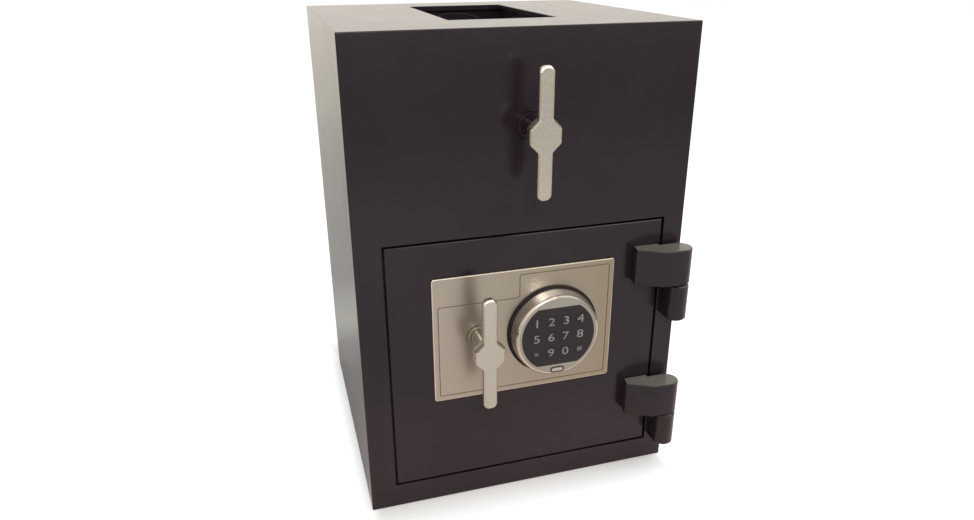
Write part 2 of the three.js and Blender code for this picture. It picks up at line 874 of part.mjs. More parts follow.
// Keypad, drawn about its own axis with y = 0 on the plate's front face
const gasketFrontY = -seatGap - gasketThickness;
const housingBackY = gasketFrontY - seatGap;
const faceY = -keypadHeight;
const fasciaFrontY = faceY - fasciaProud;
const fasciaBackY = fasciaFrontY + fasciaThickness;
const keyFrontY = fasciaFrontY - keyProud;
const keyFlangeFrontY = fasciaBackY + runningGap;
const keyBackY = keyFlangeFrontY + keyFlangeThickness;
const keyPocketY = keyBackY + keyTravel + runningGap;
const windowFrontY = faceY - windowProud;

function keypadGasket() {
  const profile = [
    [cableHoleRadius, gasketFrontY],
    [gasketRadius - gasketThickness / 2, gasketFrontY],
    [gasketRadius, gasketFrontY + gasketThickness / 2],
    [gasketRadius, -seatGap],
    [cableHoleRadius, -seatGap],
    [cableHoleRadius, gasketFrontY],
  ];
  return turned(profile, keypadSegments);
}

function windowOutline(clearance) {
  const radius = windowRadius + clearance;
  return stadium(-windowHalfRun, -windowDrop, windowHalfRun, -windowDrop, radius);
}

function keypadHousing() {
  const hollowY = faceY + keypadFaceWall;
  const profile = [
    [0, faceY],
    [keypadFaceRadius - keypadEdge, faceY],
    [keypadFaceRadius, faceY + keypadEdge],
    [keypadBaseRadius, housingBackY],
    [keypadBaseRadius - keypadShell, housingBackY],
    [keypadFaceRadius - keypadShell, hollowY],
    [0, hollowY],
  ];
  const fasciaSeat = flattenedCircle(
    fasciaRadius + seatGap,
    fasciaHalfHeight + seatGap,
    fasciaFillet,
  );
  const keyPocket = flattenedCircle(
    fasciaRadius - fasciaLedge,
    fasciaHalfHeight - fasciaLedge,
    fasciaFillet - fasciaLedge,
  );
  return cut(
    turned(profile, keypadSegments),
    slab(fasciaSeat, faceY - cutOverrun, fasciaBackY + seatGap),
    slab(keyPocket, faceY - cutOverrun, keyPocketY),
    slab(windowOutline(seatGap), faceY - cutOverrun, faceY + windowDepth + seatGap),
  );
}

function keyPlaces() {
  const places = [];
  for (let row = 0; row < keyRows; row += 1) {
    for (let column = 0; column < keyColumns; column += 1) {
      const x = (column - (keyColumns - 1) / 2) * keyColumnPitch;
      const z = ((keyRows - 1) / 2 - row) * keyRowPitch;
      places.push([x, z]);
    }
  }
  return places;
}

function keyOutline(margin) {
  const halfWidth = keyWidth / 2 + margin;
  const halfHeight = keyHeight / 2 + margin;
  return roundedRectangle(-halfWidth, halfWidth, -halfHeight, halfHeight, keyCornerRadius);
}

function keypadFascia() {
  const shape = flattenedCircle(fasciaRadius, fasciaHalfHeight, fasciaFillet);
  for (const [x, z] of keyPlaces()) {
    const around = keyOutline(runningGap).getPoints();
    shape.holes.push(new THREE.Path(around.map((p) => new THREE.Vector2(p.x + x, p.y + z))));
  }
  return slab(shape, fasciaFrontY, fasciaBackY);
}

function keypadKey() {
  return join(
    slab(keyOutline(0), keyFrontY, keyBackY, keyBevel),
    slab(keyOutline(keyFlange), keyFlangeFrontY, keyBackY),
  );
}

// Bolt work
function crank() {
  const bore = boltSpindleRadius + seatGap;
  const arm = leverArm(crankHub, crankHalfWidth, crankReach, crankFrontY, crankBackY);
  const pinEndY = carriageBackY + crankPinProud;
  return join(
    cut(arm, rodAlongY(bore, 0, 0, crankFrontY - cutOverrun, crankBackY + cutOverrun)),
    rodAlongY(crankPinRadius, 0, crankReach, crankFrontY, pinEndY, smallSegments),
  );
}

const lowerStudX = boltHandleX - lowerStudOffset;
const lowerStudZ = carriageLow + lowerStudRise;
const upperStudX = boltHandleX + upperStudOffset;
const upperStudZ = (carriageArmBottom + carriageArmTop) / 2;

function slotTool(shape) {
  return slab(shape, carriageFrontY - cutOverrun, carriageBackY + cutOverrun);
}

// The carriage is a plate with a flange for the bolts and an arm with a lug over the lock
function boltCarriage() {
  const right = boltHandleX + carriageRightOfHandle;
  const lugBottom = lockTop + lugAboveLock;
  const web = slab(
    outline(
      [carriageFlangeRight - cutOverrun, carriageLow],
      [right - carriageCornerCut, carriageLow],
      [right, carriageLow + carriageCornerCut],
      [right, carriageArmBottom],
      [lugLeft, carriageArmBottom],
      [lugLeft, lugBottom],
      [lugRight, lugBottom],
      [lugRight + lugEnd, carriageArmBottom],
      [lugRight + lugEnd, carriageArmTop],
      [carriageFlangeRight - cutOverrun, carriageArmTop],
    ),
    carriageFrontY,
    carriageBackY,
  );
  const flange = block(
    carriageFlangeLeft,
    carriageFlangeRight,
    boltY - boltRadius,
    boltY + boltRadius,
    carriageLow,
    carriageHigh,
  );
  const sockets = [upperBoltZ, lowerBoltZ].map((z) =>
    rodAlongX(
      boltSpigotRadius + seatGap,
      carriageFlangeLeft - cutOverrun,
      carriageFlangeLeft + boltSpigotLength + seatGap,
      boltY,
      z,
      smallSegments,
    ),
  );
  const pinRest = crankReach * Math.sin(handleTurn / 2);
  const pinLow = crankReach * Math.cos(handleTurn / 2);
  const crankSlot = stadium(
    boltHandleX + pinRest,
    plateCentreZ + pinLow - runningGap,
    boltHandleX + pinRest,
    plateCentreZ + crankReach + runningGap,
    crankPinRadius + crankSlotPlay,
  );
  const slotRadius = studRadius + runningGap;
  const lowerSlot = stadium(
    lowerStudX,
    lowerStudZ,
    lowerStudX + boltThrow,
    lowerStudZ,
    slotRadius,
  );
  const upperSlot = stadium(
    upperStudX,
    upperStudZ,
    upperStudX + boltThrow,
    upperStudZ,
    slotRadius,
  );
  const windowRise = plateCentreZ - lowerStudZ;
  const window = stadium(
    boltHandleX,
    lowerStudZ + windowLowShare * windowRise,
    boltHandleX,
    lowerStudZ + windowHighShare * windowRise,
    windowRadiusShare * windowRise,
  );
  return cut(
    join(web, flange),
    ...sockets,
    ...[crankSlot, lowerSlot, upperSlot, window].map(slotTool),
  );
}

// A round bolt with a chamfered tip and a spigot in the carriage's flange
function deadbolt() {
  const rootX = carriageFlangeLeft - seatGap;
  const points = [
    [0, rootX + seatGap + boltSpigotLength],
    [boltSpigotRadius, rootX + seatGap + boltSpigotLength],
    [boltSpigotRadius, rootX],
    [boltRadius, rootX],
    [boltRadius, boltTipX + boltTipChamfer],
    [boltRadius - boltTipChamfer, boltTipX],
    [0, boltTipX],
  ].map(([radius, along]) => new THREE.Vector2(radius, -along));
  const geometry = new THREE.LatheGeometry(points, roundSegments);
  return solid(geometry.rotateZ(quarterTurn));
}

// A shouldered stud on the door, on which the carriage slides
function carriageStud() {
  const shoulderY = carriageFrontY - runningGap;
  const headY = carriageBackY + runningGap;
  return turned(
    [
      [0, insideDoorY],
      [studHeadRadius, insideDoorY],
      [studHeadRadius, shoulderY],
      [studRadius, shoulderY],
      [studRadius, headY],
      [studHeadRadius, headY],
      [studHeadRadius, headY + studHeadThickness],
      [0, headY + studHeadThickness],
    ],
    smallSegments,
  );
}

// A bolt guide stands on the door, drawn about its bolt's height
function boltGuide() {
  const rear = boltY + boltRadius + guideRearMargin;
  const plate = plank(
    roundedRectangle(insideDoorY, rear, -guideHalfHeight, guideHalfHeight, guideCornerRadius),
    guideLeft,
    guideRight,
  );
  const foot = block(
    guideLeft,
    guideRight + guideFoot,
    insideDoorY,
    insideDoorY + guideFootThickness,
    -guideHalfHeight,
    guideHalfHeight,
  );
  const bore = rodAlongX(
    boltRadius + runningGap,
    guideLeft - cutOverrun,
    guideRight + cutOverrun,
    boltY,
    0,
  );
  return cut(join(plate, foot), bore);
}

// Lock, drawn behind the keypad, about the height of the handle's axis
function lockBody() {
  const halfWidth = lockWidth / 2;
  const low = lockTopAboveHandle - lockHeight;
  const lidY = insideDoorY + lockDepth - lockLidDepth;
  const channel = lockBoltThickness / 2 + runningGap;
  const channelHalfWidth = lockBoltWidth / 2 + runningGap;
  return cut(
    join(
      slab(
        roundedRectangle(-halfWidth, halfWidth, low, lockTopAboveHandle, lockCornerRadius),
        insideDoorY,
        lidY,
      ),
      slab(
        roundedRectangle(
          lockLidInset - halfWidth,
          halfWidth - lockLidInset,
          low + lockLidInset,
          lockTopAboveHandle - lockLidInset,
          lockCornerRadius,
        ),
        lidY - cutOverrun,
        lidY + lockLidDepth,
      ),
    ),
    block(
      -channelHalfWidth,
      channelHalfWidth,
      lockBoltY - channel,
      lockBoltY + channel,
      lockTopAboveHandle + lockBoltRestProud - lockBoltLength - seatGap,
      lockTopAboveHandle + cutOverrun,
    ),
  );
}

const lockBoltY = (carriageFrontY + carriageBackY) / 2;

function lockBolt() {
  const high = lockTopAboveHandle + lockBoltRestProud;
  const halfWidth = lockBoltWidth / 2;
  const halfDepth = lockBoltThickness / 2;
  const section = outline(
    [-halfWidth, lockBoltY - halfDepth],
    [halfWidth, lockBoltY - halfDepth],
    [halfWidth, lockBoltY + halfDepth],
    [-halfWidth, lockBoltY + halfDepth],
  );
  return prism(section, high - lockBoltLength, high, lockBoltBevel);
}

// An angle bar whose flange stays behind the stop frame on the hinge side
function dogBar() {
  const left = coverRight + coverDogGap;
  const flangeFrontY = lipBackY + dogBarRearGap;
  const flangeBackY = flangeFrontY + dogBarFlangeThickness;
  const section = outline(
    [left, insideDoorY],
    [left + dogBarThickness, insideDoorY],
    [left + dogBarThickness, flangeFrontY],
    [lipRight + dogBarReach, flangeFrontY],
    [lipRight + dogBarReach, flangeBackY],
    [left, flangeBackY],
  );
  return prism(section, lipBottom + dogBarInset, lipTop - dogBarInset);
}

// A pressed pan over the bolt work, open towards the door
function boltWorkCover() {
  const pan = slab(
    roundedRectangle(coverLeft, coverRight, coverBottom, coverTop, coverCornerRadius),
    insideDoorY,
    coverBackY,
    coverSheet,
  );
  const field = slab(
    roundedRectangle(
      coverLeft + coverFieldInset,
      coverRight - coverFieldInset,
      coverBottom + coverFieldInset,
      coverTop - coverFieldInset,
      coverCornerRadius,
    ),
    coverBackY - coverSheet,
    coverBackY + coverFieldHeight,
    coverFieldHeight / 2,
  );
  const hollow = slab(
    roundedRectangle(
      coverLeft + coverSheet,
      coverRight - coverSheet,
      coverBottom + coverSheet,
      coverTop - coverSheet,
      coverCornerRadius - coverSheet,
    ),
    doorBackY - cutOverrun,
    coverBackY - coverSheet,
  );
  const boltHoles = [upperBoltZ, lowerBoltZ].map((z) =>
    rodAlongX(
      boltRadius + coverBoltClearance,
      coverLeft - cutOverrun,
      coverLeft + coverSheet + cutOverrun,
      boltY,
      z,
    ),
  );
  return cut(join(pan, field), hollow, ...boltHoles);
}

// Assembly of the cabinet and what is fixed in it
const safe = new THREE.Group();
safe.add(
  piece("cabinet_shell", charcoalEnamel, cabinetShell()),
  piece("base_plate", charcoalEnamel, basePlate()),
  piece("back_plate", charcoalEnamel, backPlate()),
  piece("door_stop_frame", charcoalEnamel, doorStopFrame()),
);
safe.add(
  groupAt(
    0,
    0,
    hopperAxisZ,
    piece("hopper_front_cheek", charcoalEnamel, frontCheek()),
    piece("hopper_rear_cheek", charcoalEnamel, cheekPlate(rearCheekFrontY, rearCheekBackY)),
    piece("hopper_left_guard", charcoalEnamel, guard(-1)),
    piece("hopper_right_guard", charcoalEnamel, guard(1)),
    piece(
      "hopper_wall_bush",
      bearingBronze,
      flangedBush(hopperSpindleRadius, frontY, innerFrontY + seatGap),
    ),
    piece(
      "hopper_front_bearing",
      bearingBronze,
      flangedBush(hopperSpindleRadius, frontCheekBackY, frontBearingFlangeY),
    ),
    piece(
      "hopper_rear_bearing",
      bearingBronze,
      flangedBush(hopperSpindleRadius, rearCheekFrontY, rearBearingFlangeY),
    ),
  ),
);
safe.add(
  ...hingePairs((place) => [
    piece(`${place}_hinge_body_knuckle`, charcoalEnamel, bodyKnuckle()),
    piece(`${place}_hinge_pin`, brightSteel, hingePin()),
    piece(`${place}_hinge_washer`, bearingBronze, hingeWasher()),
  ]),
);

// Assembly of the hopper drum, which turns as one
const stopArmMesh = piece("hopper_stop_arm", zincPlated, hopperStopArm());
stopArmMesh.rotation.y = -quarterTurn;
safe.add(
  groupAt(
    0,
    0,
    hopperAxisZ,
    piece("hopper_drum", charcoalEnamel, drumShell()),
    piece(
      "hopper_drum_front_end",
      charcoalEnamel,
      drumEnd(drumEndFrontY, mouthFrontY - seatGap),
    ),
    piece("hopper_drum_rear_end", charcoalEnamel, drumEnd(mouthBackY + seatGap, drumEndBackY)),
    piece(
      "hopper_spindle",
      charcoalEnamel,
      rodAlongY(hopperSpindleRadius, 0, 0, spindleFrontY, mouthFrontY - seatGap),
    ),
    piece(
      "hopper_rear_stub",
      brightSteel,
      rodAlongY(hopperSpindleRadius, 0, 0, mouthBackY + seatGap, rearCollarBackY + rearStubProud),
    ),
    piece("hopper_rear_collar", zincPlated, rearCollar()),
    piece("hopper_handle", satinNickel, handle(hopperSpindleRadius)),
    stopArmMesh,
  ),
);

// Assembly of the door and what is fixed to it
safe.add(
  piece("door_plate", charcoalEnamel, doorPlate()),
  piece("escutcheon_plate", brushedPlate, escutcheonPlate()),
  piece("bolt_work_cover", charcoalEnamel, boltWorkCover()),
  piece("dog_bar", zincPlated, dogBar()),
  groupAt(0, 0, upperBoltZ, piece("upper_bolt_guide", zincPlated, boltGuide())),
  groupAt(0, 0, lowerBoltZ, piece("lower_bolt_guide", zincPlated, boltGuide())),
  groupAt(upperStudX, 0, upperStudZ, piece("upper_carriage_stud", brightSteel, carriageStud())),
  groupAt(lowerStudX, 0, lowerStudZ, piece("lower_carriage_stud", brightSteel, carriageStud())),
  ...hingePairs((place) => [
    piece(`${place}_hinge_door_knuckle`, charcoalEnamel, doorKnuckle()),
  ]),
);

// Assembly of the keypad on the plate and the lock behind it
const keyNames = ["1", "2", "3", "4", "5", "6", "7", "8", "star", "9", "0", "hash"];
safe.add(
  groupAt(
    keypadX,
    plateFrontY,
    keypadZ,
    piece("keypad_gasket", blackRubber, keypadGasket()),
    piece("keypad_housing", polishedChrome, keypadHousing()),
    piece("keypad_fascia", blackFascia, keypadFascia()),
    piece(
      "keypad_window",
      paleWindow,
      slab(windowOutline(0), windowFrontY, faceY + windowDepth, windowProud),
    ),
    ...keyPlaces().map(([x, z], index) =>
      groupAt(x, 0, z, piece(`key_${keyNames[index]}`, blackRubber, keypadKey())),
    ),
  ),
  groupAt(
    keypadX,
    0,
    plateCentreZ,
    piece("lock_body", lockCasting, lockBody()),
    piece("lock_bolt", brightSteel, lockBolt()),
  ),
);

// Assembly of the bolt handle, its crank and the bolts
const crankMesh = piece("bolt_crank", zincPlated, crank());
crankMesh.rotation.y = handleTurn / 2;
safe.add(
  groupAt(
    boltHandleX,
    0,
    plateCentreZ,
    piece(
      "bolt_spindle_bush",
      polishedChrome,
      flangedBush(boltSpindleRadius, plateFrontY - boltBushProud, doorBackY + seatGap),
    ),
    piece("bolt_handle", satinNickel, handle(boltSpindleRadius)),
    piece(
      "bolt_spindle",
      polishedChrome,
      rodAlongY(boltSpindleRadius, 0, 0, spindleFrontY, crankBackY),
    ),
    crankMesh,
  ),
  piece("bolt_carriage", zincPlated, boltCarriage()),
  groupAt(0, boltY, upperBoltZ, piece("upper_bolt", brightSteel, deadbolt())),
  groupAt(0, boltY, lowerBoltZ, piece("lower_bolt", brightSteel, deadbolt())),
);

export default safe;
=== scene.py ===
"""Look of a drop safe: its finishes, keypad, handles, fasteners and studio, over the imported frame.

Lengths are in millimetres unless a name says otherwise, and meshes are in metres.
"""

import json
import logging
import math
from dataclasses import dataclass, field, replace
from enum import Enum
from functools import cache
from typing import Protocol

import bmesh
import bpy
from mathutils import Matrix, Vector

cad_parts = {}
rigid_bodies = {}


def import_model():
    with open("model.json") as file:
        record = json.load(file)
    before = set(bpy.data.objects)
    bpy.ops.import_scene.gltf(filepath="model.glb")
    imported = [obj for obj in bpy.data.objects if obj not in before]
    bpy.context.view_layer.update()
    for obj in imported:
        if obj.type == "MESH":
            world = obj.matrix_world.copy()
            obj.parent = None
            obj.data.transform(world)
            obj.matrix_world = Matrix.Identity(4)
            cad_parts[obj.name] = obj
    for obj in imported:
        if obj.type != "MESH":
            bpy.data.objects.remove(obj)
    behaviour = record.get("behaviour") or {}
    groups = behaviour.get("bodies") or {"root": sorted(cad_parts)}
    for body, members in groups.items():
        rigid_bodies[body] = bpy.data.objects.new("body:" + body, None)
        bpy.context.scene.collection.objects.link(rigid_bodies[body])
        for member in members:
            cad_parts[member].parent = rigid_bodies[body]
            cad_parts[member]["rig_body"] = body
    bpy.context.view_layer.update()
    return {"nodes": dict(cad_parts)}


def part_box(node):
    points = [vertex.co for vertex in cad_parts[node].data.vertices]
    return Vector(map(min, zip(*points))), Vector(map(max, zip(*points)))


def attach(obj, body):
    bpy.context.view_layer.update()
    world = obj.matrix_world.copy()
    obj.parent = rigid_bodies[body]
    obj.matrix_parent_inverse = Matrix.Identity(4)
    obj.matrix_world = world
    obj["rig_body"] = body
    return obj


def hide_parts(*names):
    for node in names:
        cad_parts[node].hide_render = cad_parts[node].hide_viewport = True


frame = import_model()

Colour = tuple[float, float, float, float]
Outline = list[tuple[float, float]]
Corner = tuple[float, float, float]
Range = tuple[float, float]
Socket = bpy.types.NodeSocket
Mesh = bpy.types.Mesh
Face = bpy.types.MeshPolygon
Thing = bpy.types.Object
Material = bpy.types.Material
Inputs = dict[str | int, object]

LOG = logging.getLogger("drop_safe")
MM = 0.001
WELD_M = 1e-6
FLAT_ANGLE = math.radians(0.5)
EIGHTH_TURN = math.radians(45)
QUARTER_TURN = math.radians(90)
LEVEL_COSINE = 0.9
FRONTAL_COSINE = 0.99
FACING_FRONT = Matrix.Rotation(QUARTER_TURN, 4, "X")
BLACK: Colour = (0.0, 0.0, 0.0, 1.0)
WHITE: Colour = (1.0, 1.0, 1.0, 1.0)
# How far a cutter starts in front of what it cuts.
OVERSHOOT = 1.0
# How much finer detail a noise carries.
PLAIN, MIDDLING, RICH = 1.0, 3.0, 4.0
# Sockets of the mix node when it mixes colours.
MIX_AMOUNT, MIX_FIRST, MIX_SECOND, MIX_RESULT = 0, 6, 7, 2


def chip(red: int, green: int, blue: int) -> Colour:
    """Turn a colour as it looks on screen into linear light.

    Args:
        red: Red channel, 0 to 255.
        green: Green channel, 0 to 255.
        blue: Blue channel, 0 to 255.

    Returns:
        The linear colour with an alpha of 1.
    """

    def linear(channel: int) -> float:
        """Undo the screen's curve for one channel."""
        share = channel / 255
        return share / 12.92 if share <= 0.04045 else ((share + 0.055) / 1.055) ** 2.4

    return (linear(red), linear(green), linear(blue), 1.0)


# Finishes


class Nodes:
    """A node tree, with short calls for what its nodes share."""

    def __init__(self, tree: bpy.types.NodeTree) -> None:
        """Take over a tree and empty it."""
        self.tree = tree
        tree.nodes.clear()

    def fill(self, node: bpy.types.Node, inputs: Inputs) -> None:
        """Set a node's inputs.

        Args:
            node: The node.
            inputs: Names or numbers, each with its constant or the socket that feeds it.
        """
        for name, source in inputs.items():
            if isinstance(source, Socket):
                self.tree.links.new(source, node.inputs[name])
            else:
                node.inputs[name].default_value = source

    def add(self, kind: str, inputs: Inputs | None = None, **settings: object) -> bpy.types.Node:
        """Add a node.

        Args:
            kind: Type of the node.
            inputs: Names or numbers, each with its constant or the socket that feeds it.
            settings: Properties of the node.

        Returns:
            The node.
        """
        node = self.tree.nodes.new(kind)
        for name, setting in settings.items():
            setattr(node, name, setting)
        self.fill(node, inputs or {})
        return node

    def between(
        self, source: Socket, low: float = 0.0, high: float = 1.0, span: Range = (0.35, 0.65)
    ) -> Socket:
        """Map a value, such as a noise, to a range.

        Args:
            source: The value.
            low: Result at the low end of the span.
            high: Result at the high end of the span.
            span: The values that are spread over the range.

        Returns:
            The mapped value.
        """
        ends = {"From Min": span[0], "From Max": span[1], "To Min": low, "To Max": high}
        return self.add("ShaderNodeMapRange", {"Value": source, **ends}).outputs["Result"]

    def blend(self, amount: Socket, first: Colour | Socket, second: Colour | Socket) -> Socket:
        """Mix two colours by a varying amount of the second."""
        inputs = {MIX_AMOUNT: amount, MIX_FIRST: first, MIX_SECOND: second}
        return self.add("ShaderNodeMix", inputs, data_type="RGBA").outputs[MIX_RESULT]


class Recipe(Nodes):
    """A material's node tree, with one shader and object coordinates."""

    def __init__(self, name: str) -> None:
        """Start the material.

        Args:
            name: Name of the material.
        """
        self.material = bpy.data.materials.new(name)
        self.material.use_nodes = True
        super().__init__(self.material.node_tree)
        self.shader = self.add("ShaderNodeBsdfPrincipled")
        self.add("ShaderNodeOutputMaterial", {"Surface": self.shader.outputs["BSDF"]})
        self.place = self.add("ShaderNodeTexCoord").outputs["Object"]

    def give(self, inputs: Inputs) -> None:
        """Set constants on the shader's own sockets, or link what feeds them."""
        self.fill(self.shader, inputs)

    def stretched(self, stretch: tuple[float, float, float]) -> Socket:
        """Give the object coordinates with each axis scaled."""
        inputs = {"Scale": stretch, "Vector": self.place}
        return self.add("ShaderNodeMapping", inputs).outputs["Vector"]

    def distance_from_axis(self, centre: tuple[float, float, float]) -> Socket:
        """Give the distance from an axis along Y, as the X of a coordinate.

        Args:
            centre: A point on the axis, in metres.

        Returns:
            A coordinate that only changes with that distance.
        """
        kind = "ShaderNodeVectorMath"
        offset = self.add(kind, {0: self.place, 1: centre}, operation="SUBTRACT")
        flat = self.add(kind, {0: offset.outputs[0], 1: (1.0, 0.0, 1.0)}, operation="MULTIPLY")
        length = self.add(kind, {0: flat.outputs[0]}, operation="LENGTH")
        return self.add("ShaderNodeCombineXYZ", {"X": length.outputs["Value"]}).outputs["Vector"]

    def across(self) -> Socket:
        """Give the place along X, in metres."""
        return self.add("ShaderNodeSeparateXYZ", {0: self.place}).outputs["X"]

    def away_from(self, middle: float) -> Socket:
        """Give the distance along X from a place, in metres."""
        offset = self.add("ShaderNodeMath", {0: self.across(), 1: middle}, operation="SUBTRACT")
        return self.add("ShaderNodeMath", {0: offset.outputs[0]}, operation="ABSOLUTE").outputs[0]

    def noise(self, per_metre: float, detail: float = 2.0, place: Socket | None = None) -> Socket:
        """Make a noise from 0 to 1, of so many features to a metre, over a place."""
        inputs = {"Scale": per_metre, "Detail": detail, "Vector": place or self.place}
        return self.add("ShaderNodeTexNoise", inputs).outputs["Fac"]

    def bump(self, height: Socket, depth_mm: float, over: Socket | None = None) -> Socket:
        """Turn a height into a surface direction.

        Args:
            height: The height, from 0 to 1.
            depth_mm: What a height of 1 stands for.
            over: A surface direction that this one lies on.

        Returns:
            The surface direction.
        """
        inputs = {"Distance": depth_mm * MM, "Height": height}
        if over is not None:
            inputs["Normal"] = over
        return self.add("ShaderNodeBump", inputs).outputs["Normal"]


class Finish(Protocol):
    """What every finish can do."""

    name: str

    def build(self) -> Material:
        """Make the material."""


@dataclass(frozen=True)
class Enamel:
    """Sprayed semi-gloss paint with a fine orange-peel texture."""

    name: str
    colour: Colour
    shade: Colour
    roughness: Range = (0.40, 0.54)
    specular: float = 0.05
    coat_weight: float = 1.0
    coat_roughness: float = 0.2
    coat_ior: float = 1.37
    cloud_per_metre: float = 11.0
    sheen_per_metre: float = 35.0
    peel_per_metre: float = 420.0
    peel_depth_mm: float = 0.05
    ripple_per_metre: float = 70.0
    ripple_depth_mm: float = 0.12

    def build(self) -> Material:
        """Make the paint.

        Returns:
            The material.
        """
        recipe = Recipe(self.name)
        cloud = recipe.between(recipe.noise(self.cloud_per_metre, RICH))
        ripple = recipe.bump(recipe.noise(self.ripple_per_metre), self.ripple_depth_mm)
        peel = recipe.noise(self.peel_per_metre, PLAIN)
        surface = recipe.bump(peel, self.peel_depth_mm, ripple)
        recipe.give(
            {
                "Base Color": recipe.blend(cloud, self.shade, self.colour),
                "Roughness": recipe.between(recipe.noise(self.sheen_per_metre), *self.roughness),
                "Specular IOR Level": self.specular,
                "Coat Weight": self.coat_weight,
                "Coat Roughness": self.coat_roughness,
                "Coat IOR": self.coat_ior,
                "Normal": surface,
                "Coat Normal": surface,
            }
        )
        return recipe.material


class Grain(Enum):
    """Which way a metal's grain runs, as the stretch of its noise."""

    CAST = (1.0, 1.0, 1.0)
    ALONG_X = (0.02, 1.0, 1.0)
    TURNED = (0.0, 0.0, 0.0)


@dataclass(frozen=True)
class Metal:
    """Bare or plated metal with its grain, and a slow change of tone over it.

    A turned grain runs round its axis. The tone is a noise, unless it fades along X over a given
    span, a painted shade that darkens one side, or stands in a band, a painted glint, which is
    given as its middle and reach along X. A stretch draws the metal's highlights out across its
    grain.
    """

    name: str
    colour: Colour
    shade: Colour
    roughness: Range
    grain: Grain = Grain.CAST
    grain_per_metre: float = 900.0
    grain_depth_mm: float = 0.01
    tone_per_metre: float = 14.0
    axis: tuple[float, float, float] = (0.0, 0.0, 0.0)
    painted_fade_m: Range | None = None
    glint_band_m: Range | None = None
    glint_falloff: float = 3.0
    stretch: float = 0.0
    stretch_turn: float = 0.25

    def build(self) -> Material:
        """Make the metal.

        Returns:
            The material.
        """
        recipe = Recipe(self.name)
        if self.grain is Grain.TURNED:
            place = recipe.distance_from_axis(self.axis)
        else:
            place = recipe.stretched(self.grain.value)
        grain = recipe.noise(self.grain_per_metre, MIDDLING, place)
        if self.painted_fade_m is not None:
            tone = recipe.between(recipe.across(), 1.0, 0.0, self.painted_fade_m)
        elif self.glint_band_m is not None:
            middle, reach = self.glint_band_m
            span = (reach / self.glint_falloff, reach)
            tone = recipe.between(recipe.away_from(middle), 1.0, 0.0, span)
        else:
            tone = recipe.between(recipe.noise(self.tone_per_metre, MIDDLING))
        recipe.give(
            {
                "Metallic": 1.0,
                "Base Color": recipe.blend(tone, self.shade, self.colour),
                "Roughness": recipe.between(grain, *self.roughness),
                "Normal": recipe.bump(grain, self.grain_depth_mm),
            }
        )
        if self.stretch > 0:
            recipe.give({"Anisotropic": self.stretch, "Anisotropic Rotation": self.stretch_turn})
        return recipe.material


@dataclass(frozen=True)
class Moulded:
    """Plastic, rubber, ink or filler with a fine matt texture."""

    name: str
    colour: Colour
    shade: Colour
    roughness: Range
    specular: float = 0.5
    tone_per_metre: float = 40.0
    fleck_per_metre: float = 1500.0
    fleck_depth_mm: float = 0.01

    def build(self) -> Material:
        """Make the plastic.

        Returns:
            The material.
        """
        recipe = Recipe(self.name)
        tone = recipe.between(recipe.noise(self.tone_per_metre, MIDDLING))
        fleck = recipe.noise(self.fleck_per_metre, PLAIN)
        recipe.give(
            {
                "Specular IOR Level": self.specular,
                "Base Color": recipe.blend(tone, self.shade, self.colour),
                "Roughness": recipe.between(fleck, *self.roughness),
                "Normal": recipe.bump(fleck, self.fleck_depth_mm),
            }
        )
        return recipe.material


@cache
def material_of(finish: Finish) -> Material:
    """Build a finish once and keep it."""
    return finish.build()


def nickel(name: str, colour: Colour, shade: Colour, roughness: Range) -> Metal:
    """Give a cast and plated finish with a faint grain."""
    return Metal(name, colour, shade, roughness, grain_per_metre=600.0, grain_depth_mm=0.003)


def turned_chrome(name: str, colour: Colour, shade: Colour, roughness: Range) -> Metal:
    """Give a turned and plated finish."""
    return Metal(name, colour, shade, roughness, Grain.TURNED, 1600.0, 0.004)


CHARCOAL_ENAMEL = Enamel("charcoal_enamel", chip(35, 26, 33), chip(28, 20, 27))
# Painted light: a lighter enamel for upward faces, standing in for light from above.
TOP_LIT_ENAMEL = Enamel("top_lit_enamel", chip(112, 106, 101), chip(97, 92, 87))
SATIN_NICKEL = nickel("satin_nickel", chip(203, 198, 188), chip(197, 192, 181), (0.26, 0.32))
# Lit and shaded copies of the satin nickel: a painted highlight on the bevels, painted shade on the
# upward bevels and a painted highlight at the top end.
EDGE_HIGHLIGHT_NICKEL = nickel("edge_highlight_nickel", chip(198, 191, 178), chip(190, 183, 170), (0.28, 0.34))
TOP_SHADE_NICKEL = nickel("top_shade_nickel", chip(124, 120, 111), chip(116, 112, 104), (0.4, 0.46))
END_HIGHLIGHT_NICKEL = nickel("end_highlight_nickel", chip(240, 234, 222), chip(228, 222, 210), (0.24, 0.30))
# Painted shade: the plate's tone fades from light at the left to dark at the right.
BRUSHED_PLATE = Metal(
    "brushed_plate",
    chip(176, 168, 157),
    chip(159, 149, 132),
    (0.32, 0.38),
    Grain.ALONG_X,
    grain_per_metre=3600.0,
    grain_depth_mm=0.002,
    painted_fade_m=(-0.1, 0.09),
    stretch=0.6,
)
# Painted highlight: a lighter metal for the plate's side and lower bevels.
PLATE_EDGE_HIGHLIGHT = Metal("plate_edge_highlight", chip(238, 228, 214), chip(228, 218, 204), (0.3, 0.36))
# Painted shade: a darker chrome for the bolt spindle stands in for its dark reflections.
SPINDLE_SHADE_CHROME = Metal("spindle_shade_chrome", chip(172, 168, 162), chip(164, 160, 153), (0.14, 0.2))
